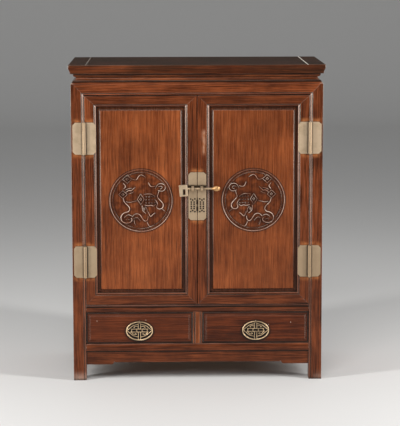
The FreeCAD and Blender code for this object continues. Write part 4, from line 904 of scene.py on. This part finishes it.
def ribbon_tree():
    """Sweeps ribbons of one height along flat curves and stands the relief upright on its ground."""
    group = bpy.data.node_groups.new("carved_ribbons", "GeometryNodeTree")
    for name, kind in RIBBON_INPUTS.items():
        group.interface.new_socket(name, in_out="INPUT", socket_type=kind)
    group.interface.new_socket("Geometry", in_out="OUTPUT", socket_type="NodeSocketGeometry")
    tree = Nodes(group)
    start = tree.add("NodeGroupInput").outputs
    radius = tree.add("GeometryNodeInputRadius").outputs[0]
    keep = tree.add("GeometryNodeStoreNamedAttribute", {"data_type": "FLOAT", "domain": "POINT"},
                    Geometry=start["Geometry"], Name="half_width", Value=radius)
    upright = tree.add("GeometryNodeSetCurveNormal", {"mode": "Z_UP"}, Curve=keep.outputs[0])
    section = tree.add("GeometryNodeObjectInfo", Object=start["Section"]).outputs["Geometry"]
    sweep = tree.add("GeometryNodeCurveToMesh", Curve=upright.outputs[0], Profile_Curve=section,
                     Scale=radius, Fill_Caps=True)
    # the sweep's height grows with its width, so it is brought back to one height
    half = tree.add("GeometryNodeInputNamedAttribute", {"data_type": "FLOAT"}, Name="half_width")
    half = half.outputs["Attribute"]
    place = tree.parts(tree.add("GeometryNodeInputPosition").outputs[0])
    share = tree.math("MINIMUM", tree.math("DIVIDE", half, start["Full width"]), 1)
    rise = tree.times(tree.math("DIVIDE", place["Z"], half), start["Height"], share)
    level = tree.add("ShaderNodeCombineXYZ", X=place["X"], Y=place["Y"], Z=rise)
    move = tree.add("GeometryNodeSetPosition", Geometry=sweep.outputs[0], Position=level.outputs[0])
    stand = tree.add("GeometryNodeTransform", Geometry=move.outputs[0], Translation=start["Place"],
                     Rotation=(math.pi / 2, 0, 0))
    realize = tree.add("GeometryNodeRealizeInstances", Geometry=stand.outputs[0])
    paint = tree.add("GeometryNodeSetMaterial", Geometry=realize.outputs[0], Material=start["Material"])
    tree.add("NodeGroupOutput", Geometry=paint.outputs[0])
    return group


def baked(carrier, tree, inputs):
    """Plain mesh of what a geometry tree makes from carrier, which is then removed."""
    modifier = carrier.modifiers.new("tree", "NODES")
    modifier.node_group = tree
    for item in tree.interface.items_tree:
        if item.in_out == "INPUT" and item.name in inputs:
            modifier[item.identifier] = inputs[item.name]
    graph = bpy.context.evaluated_depsgraph_get()
    mesh = bpy.data.meshes.new_from_object(carrier.evaluated_get(graph), depsgraph=graph)
    forget(carrier)
    return mesh


def forget(carrier):
    """Removes a curve object and its curve."""
    data = carrier.data
    bpy.data.objects.remove(carrier)
    bpy.data.curves.remove(data)


def flat_curve(name, lines):
    """Curve object from (points, half widths, closed, smooth) lines of flat points."""
    data = bpy.data.curves.new(name, "CURVE")
    data.dimensions = "3D"
    data.resolution_u = bpy.context.scene.cabinet_carving.steps
    for points, widths, closed, smooth in lines:
        spline = data.splines.new("NURBS" if smooth else "POLY")
        spline.points.add(len(points) - 1)
        for point, (x, y), width in zip(spline.points, points, widths):
            point.co = (x, y, 0, 1)
            point.radius = width
        if smooth:
            spline.order_u = 3
            spline.use_endpoint_u = True
        spline.use_cyclic_u = closed
    carrier = bpy.data.objects.new(name, data)
    bpy.context.scene.collection.objects.link(carrier)
    return carrier


def swept(name, lines, section, height, full_width, place, material):
    """Mesh of ribbons with one section, standing off a ground through place."""
    half = [(x, -z) for x, z in section]
    outline = [(-x, z) for x, z in reversed(half)] + half[1:]
    profile = flat_curve("section", [(outline, [1] * len(outline), True, False)])
    tree = ribbon_tree()
    mesh = baked(flat_curve(name, lines), tree, {
        "Section": profile, "Height": height, "Full width": full_width, "Place": place,
        "Material": material,
    })
    forget(profile)
    bpy.data.node_groups.remove(tree)
    bm = bmesh.new()
    bm.from_mesh(mesh)
    bmesh.ops.recalc_face_normals(bm, faces=bm.faces)
    bm.to_mesh(mesh)
    bm.free()
    mesh.name = name
    return mesh


def oval(half_width, half_height, half_rim, count):
    """Closed line of one width along the inside of an oval."""
    turns = [2 * math.pi * n / count for n in range(count)]
    a, b = half_width - half_rim, half_height - half_rim
    return [(a * math.cos(t), b * math.sin(t)) for t in turns], [half_rim] * count, True, False


class CABINET_OT_pulls(bpy.types.Operator):
    """Openwork of the drawer pulls: an oval rim and bars"""

    bl_idname = "cabinet.pulls"
    bl_label = "Drawer pulls"

    RIM, BAR = 0.0021, 0.00135  # half widths
    RIM_POINTS = 72
    # bars of the right half, in shares of half width and half height, and whether they bend
    BAR_SHARES = [
        (False, [(0.085, 0.92), (0.085, 0.20)]), (False, [(0, 0.20), (0.62, 0.20)]),
        (False, [(0, -0.10), (0.66, -0.10)]), (False, [(0.085, -0.10), (0.085, -0.92)]),
        (False, [(0.20, 0.20), (0.20, -0.10)]), (False, [(0.55, 0.20), (0.60, -0.10)]),
        (True, [(0.92, 0.06), (0.66, 0.34), (0.46, 0.60), (0.085, 0.70)]),
        (True, [(0.92, 0.04), (0.62, -0.30), (0.42, -0.54), (0.085, -0.62)]),
        (True, [(0.085, 0.44), (0.30, 0.54), (0.46, 0.36), (0.34, 0.32)]),
        (True, [(0.60, -0.10), (0.48, -0.36), (0.26, -0.40), (0.22, -0.26), (0.34, -0.24)]),
    ]
    ROUGH, DIRT_TONE = 0.3, 0.2

    def execute(self, context):
        s = context.scene.cabinet_brass
        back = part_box("left_pull")[1].y

        def shaded(tree):
            # Painted shade low on the bars, next to the drawer front
            sunk = tree.fade(tree.y, back - self.RIM, back)
            tree.paint(toned(s.deep, self.DIRT_TONE), sunk, strength=0.75)

        metal = brass("pull_brass", s.pull, s.deep, self.ROUGH, shaded)
        for name in both("pull"):
            low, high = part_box(name)
            middle, half = middle_and_half((low, high))
            lines = [oval(half.x, half.z, self.RIM, self.RIM_POINTS)]
            for side in (-1, 1):
                for bent, shares in self.BAR_SHARES:
                    points = [(side * x * half.x, z * half.z) for x, z in shares]
                    lines.append((points, [self.BAR] * len(points), False, bent))
            place = (middle.x, high.y, middle.z)
            mesh = swept(name + "_openwork", lines, ROUNDED_SHARES, high.y - low.y, self.BAR, place, metal)
            piece = new_piece(name + "_openwork", mesh, metal, name)
            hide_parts(name)
        return {"FINISHED"}


class CABINET_OT_medallions(bpy.types.Operator):
    """Low relief inside the rings of both door panels"""

    bl_idname = "cabinet.medallions"
    bl_label = "Carved medallions"

    GROUND = 0.0898  # radius of the sunk ground
    GROUND_SETBACK = 0.0045  # from the front of the door frame to the ground
    FULL_SHARE = 0.012  # a ribbon narrower than this is lower as well
    HOLLOWS, RIDGES = (0.5, 0.1), (0.6, 0.9)  # ranges of the grime and painted shade low in the relief and of the wear and painted highlights on its ridges, in shares of the relief
    GLINTS, GLINTING, GLINT_SHARES = 40, (0.42, 0.58), (0.22, 1)  # bright stretches along the ribbons
    GROOVE = 0.004  # reach of the grime and painted shade between the ribbons
    POLISH = 0.24
    RIM_POINTS = 64

    def ribbons(self, side, rim):
        """Lines of one medallion; a side of -1 mirrors it."""
        def at(x, z):
            return side * x * self.GROUND, z * self.GROUND

        def lozenge(x, z, a, b, half):
            corners = [at(x - a, z), at(x, z + b), at(x + a, z), at(x, z - b)]
            return corners, [half * self.GROUND] * len(corners), True, False

        lines = [oval(self.GROUND, self.GROUND, rim, self.RIM_POINTS)]
        for (first, mid, last), points in RIBBON_SHARES:
            widths = []
            for n in range(len(points)):
                share = 2 * n / (len(points) - 1)
                width = first + (mid - first) * share if share < 1 else mid + (last - mid) * (share - 1)
                widths.append(width * self.GROUND)
            lines.append(([at(*p) for p in points], widths, False, True))
        for x, z, a, b in LOZENGE_SHARES:
            for share in LOZENGE_RINGS_SHARES:
                lines.append(lozenge(x, z, a * share, b * share, LOZENGE_HALF_SHARE))
        for row in range(SCALE_ROWS):
            for n in range(SCALES):
                x = SCALE_START_SHARES[0] + SCALE_STEP_SHARES[0] * n
                z = SCALE_START_SHARES[1] + SCALE_STEP_SHARES[1] * row
                lines.append(lozenge(x, z, SCALE_HALF_SHARE, SCALE_HALF_SHARE, SCALE_HALF_SHARE / 2))
        return lines

    def execute(self, context):
        s, w = context.scene.cabinet_carving, context.scene.cabinet_wood
        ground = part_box("left_door_lock_stile")[0].y + self.GROUND_SETBACK

        def polished(tree):
            # Grime with painted shade low in the relief, and wear with painted highlights on its ridges
            up = tree.span(tree.y, (ground, ground - s.height), (0, 1))
            tree.paint(w.grime, tree.fade(up, *self.HOLLOWS))
            glints = tree.noise(tree.place, scale=self.GLINTS)
            glints = tree.span(glints, self.GLINTING, self.GLINT_SHARES)
            tree.paint(w.rubbed, tree.fade(up, *self.RIDGES), glints)

        material = wood("carving_wood", "Z", w.panel_dark, w.panel_light, w, extra=polished, wear=0,
                        polish=self.POLISH, groove=self.GROOVE, beaded=0)
        for side, name in ((1, "left"), (-1, "right")):
            middle = middle_and_half(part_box(name + "_door_panel"))[0]
            place = (middle.x, ground, middle.z)
            lines = self.ribbons(side, s.rim)
            full = self.FULL_SHARE * self.GROUND
            mesh = swept(name + "_medallion", lines, RIDGED_SHARES, s.height, full, place, material)
            new_piece(name + "_medallion", mesh, material, name + "_door")
        return {"FINISHED"}


# Stage


class CABINET_OT_stage(bpy.types.Operator):
    """Floor, backdrop, soft lights and the camera"""

    bl_idname = "cabinet.stage"
    bl_label = "Stage"

    # name, place, aim, width, height, power
    LIGHTS = [
        ("left", (-2.5, -1.5, 1.5), (0, -0.1, 0.7), 0.3, 2.0, 66),
        ("right", (2.5, -1.3, 1.5), (0, -0.1, 0.7), 0.3, 2.0, 70),
        ("front", (-0.8, -4.2, 3.8), (0, 0, 0.7), 2.0, 1.4, 70),
        ("above", (0.3, 0.9, 3.4), (0, 0, 0.9), 2.4, 1.6, 10),
    ]
    SKY_COLOUR = (0.95, 0.97, 1, 1)
    # camera that was fitted to the cabinet's edges in the photograph
    CAMERA_PLACE = (-0.09986, -5.7858, 1.34878)
    YAW_DEG, PITCH_DEG, ROLL_DEG = 1.1105, 8.2855, 0.1214
    SENSOR_MM, FAR = 36, 60
    SHEET_HALF, SHEET_FRONT, SHEET_BEND, BEND_RADIUS, SHEET_TOP = 14, -12, 8, 1.5, 7
    BEND_STEPS = 12
    SHEET_ROUGH = 0.8

    def backdrop(self, floor):
        """One sheet: floor, a bend and a wall."""
        tree = Tree("paper")
        tree.shader.inputs["Base Color"].default_value = floor
        tree.shader.inputs["Roughness"].default_value = self.SHEET_ROUGH
        bm = bmesh.new()
        line = [(self.SHEET_FRONT, 0)]
        for n in range(self.BEND_STEPS + 1):
            turn = n * math.pi / 2 / self.BEND_STEPS
            r = self.BEND_RADIUS
            line.append((self.SHEET_BEND + r * math.sin(turn), r - r * math.cos(turn)))
        line.append((self.SHEET_BEND + self.BEND_RADIUS, self.SHEET_TOP))
        rows = [[bm.verts.new((x, y, z)) for x in (-self.SHEET_HALF, self.SHEET_HALF)] for y, z in line]
        for a, b in zip(rows, rows[1:]):
            bm.faces.new((a[0], a[1], b[1], b[0])).smooth = True
        mesh = bpy.data.meshes.new("backdrop")
        bm.to_mesh(mesh)
        bm.free()
        mesh.materials.append(tree.material)
        sheet = bpy.data.objects.new("backdrop", mesh)
        bpy.context.scene.collection.objects.link(sheet)

    def camera(self, scene, lens):
        yaw, pitch, roll = (math.radians(a) for a in (self.YAW_DEG, self.PITCH_DEG, self.ROLL_DEG))
        ahead = Vector((math.sin(yaw) * math.cos(pitch), math.cos(yaw) * math.cos(pitch), -math.sin(pitch)))
        level = Vector((math.cos(yaw), -math.sin(yaw), 0))
        drop = ahead.cross(level)
        right = math.cos(roll) * level + math.sin(roll) * drop
        down = math.cos(roll) * drop - math.sin(roll) * level
        camera = bpy.data.objects.new("camera", bpy.data.cameras.new("camera"))
        turn = Matrix((right, -down, -ahead)).transposed().to_4x4()
        camera.matrix_world = Matrix.Translation(self.CAMERA_PLACE) @ turn
        camera.data.lens = lens
        camera.data.sensor_width = self.SENSOR_MM
        camera.data.clip_end = self.FAR
        scene.collection.objects.link(camera)
        scene.camera = camera

    def execute(self, context):
        s = context.scene.cabinet_stage
        self.backdrop(s.floor)
        for name, place, aim, width, height, power in self.LIGHTS:
            data = bpy.data.lights.new(name, "AREA")
            data.shape, data.size, data.size_y, data.energy = "RECTANGLE", width, height, power
            lamp = bpy.data.objects.new(name, data)
            lamp.location = place
            lamp.rotation_euler = (Vector(aim) - Vector(place)).to_track_quat("-Z", "Y").to_euler()
            context.scene.collection.objects.link(lamp)
        world = bpy.data.worlds.new("studio")
        world.use_nodes = True
        light = world.node_tree.nodes["Background"]
        light.inputs["Color"].default_value = self.SKY_COLOUR
        light.inputs["Strength"].default_value = s.sky
        context.scene.world = world
        context.scene.view_settings.view_transform = "Standard"
        self.camera(context.scene, s.lens)
        return {"FINISHED"}


OPERATORS = [
    CABINET_OT_frame_wood, CABINET_OT_top_wood, CABINET_OT_panel_wood, CABINET_OT_drawer_wood,
    CABINET_OT_inner_wood, CABINET_OT_brass, CABINET_OT_bud, CABINET_OT_pulls, CABINET_OT_medallions,
    CABINET_OT_stage,
]
SETTINGS = {
    "cabinet_wood": CabinetWood, "cabinet_brass": CabinetBrass, "cabinet_carving": CabinetCarving,
    "cabinet_stage": CabinetStage,
}


class CABINET_PT_panel(bpy.types.Panel):
    """Shows the cabinet's settings and the buttons of its operators"""

    bl_idname = "CABINET_PT_panel"
    bl_label = "Cabinet"
    bl_space_type = "VIEW_3D"
    bl_region_type = "UI"
    bl_category = "Cabinet"

    def draw(self, context):
        for name in SETTINGS:
            box = self.layout.box()
            group = getattr(context.scene, name)
            for key in group.__annotations__:
                box.prop(group, key)
        for operator in OPERATORS:
            self.layout.operator(operator.bl_idname)


def register():
    for group in (*SETTINGS.values(), *OPERATORS, CABINET_PT_panel):
        bpy.utils.register_class(group)
    for name, group in SETTINGS.items():
        setattr(bpy.types.Scene, name, PointerProperty(type=group))


def unregister():
    for name in SETTINGS:
        delattr(bpy.types.Scene, name)
    for group in (CABINET_PT_panel, *reversed(OPERATORS), *SETTINGS.values()):
        bpy.utils.unregister_class(group)


def main():
    register()
    for operator in OPERATORS:
        family, name = operator.bl_idname.split(".")
        getattr(getattr(bpy.ops, family), name)()


if __name__ == "__main__":
    main()
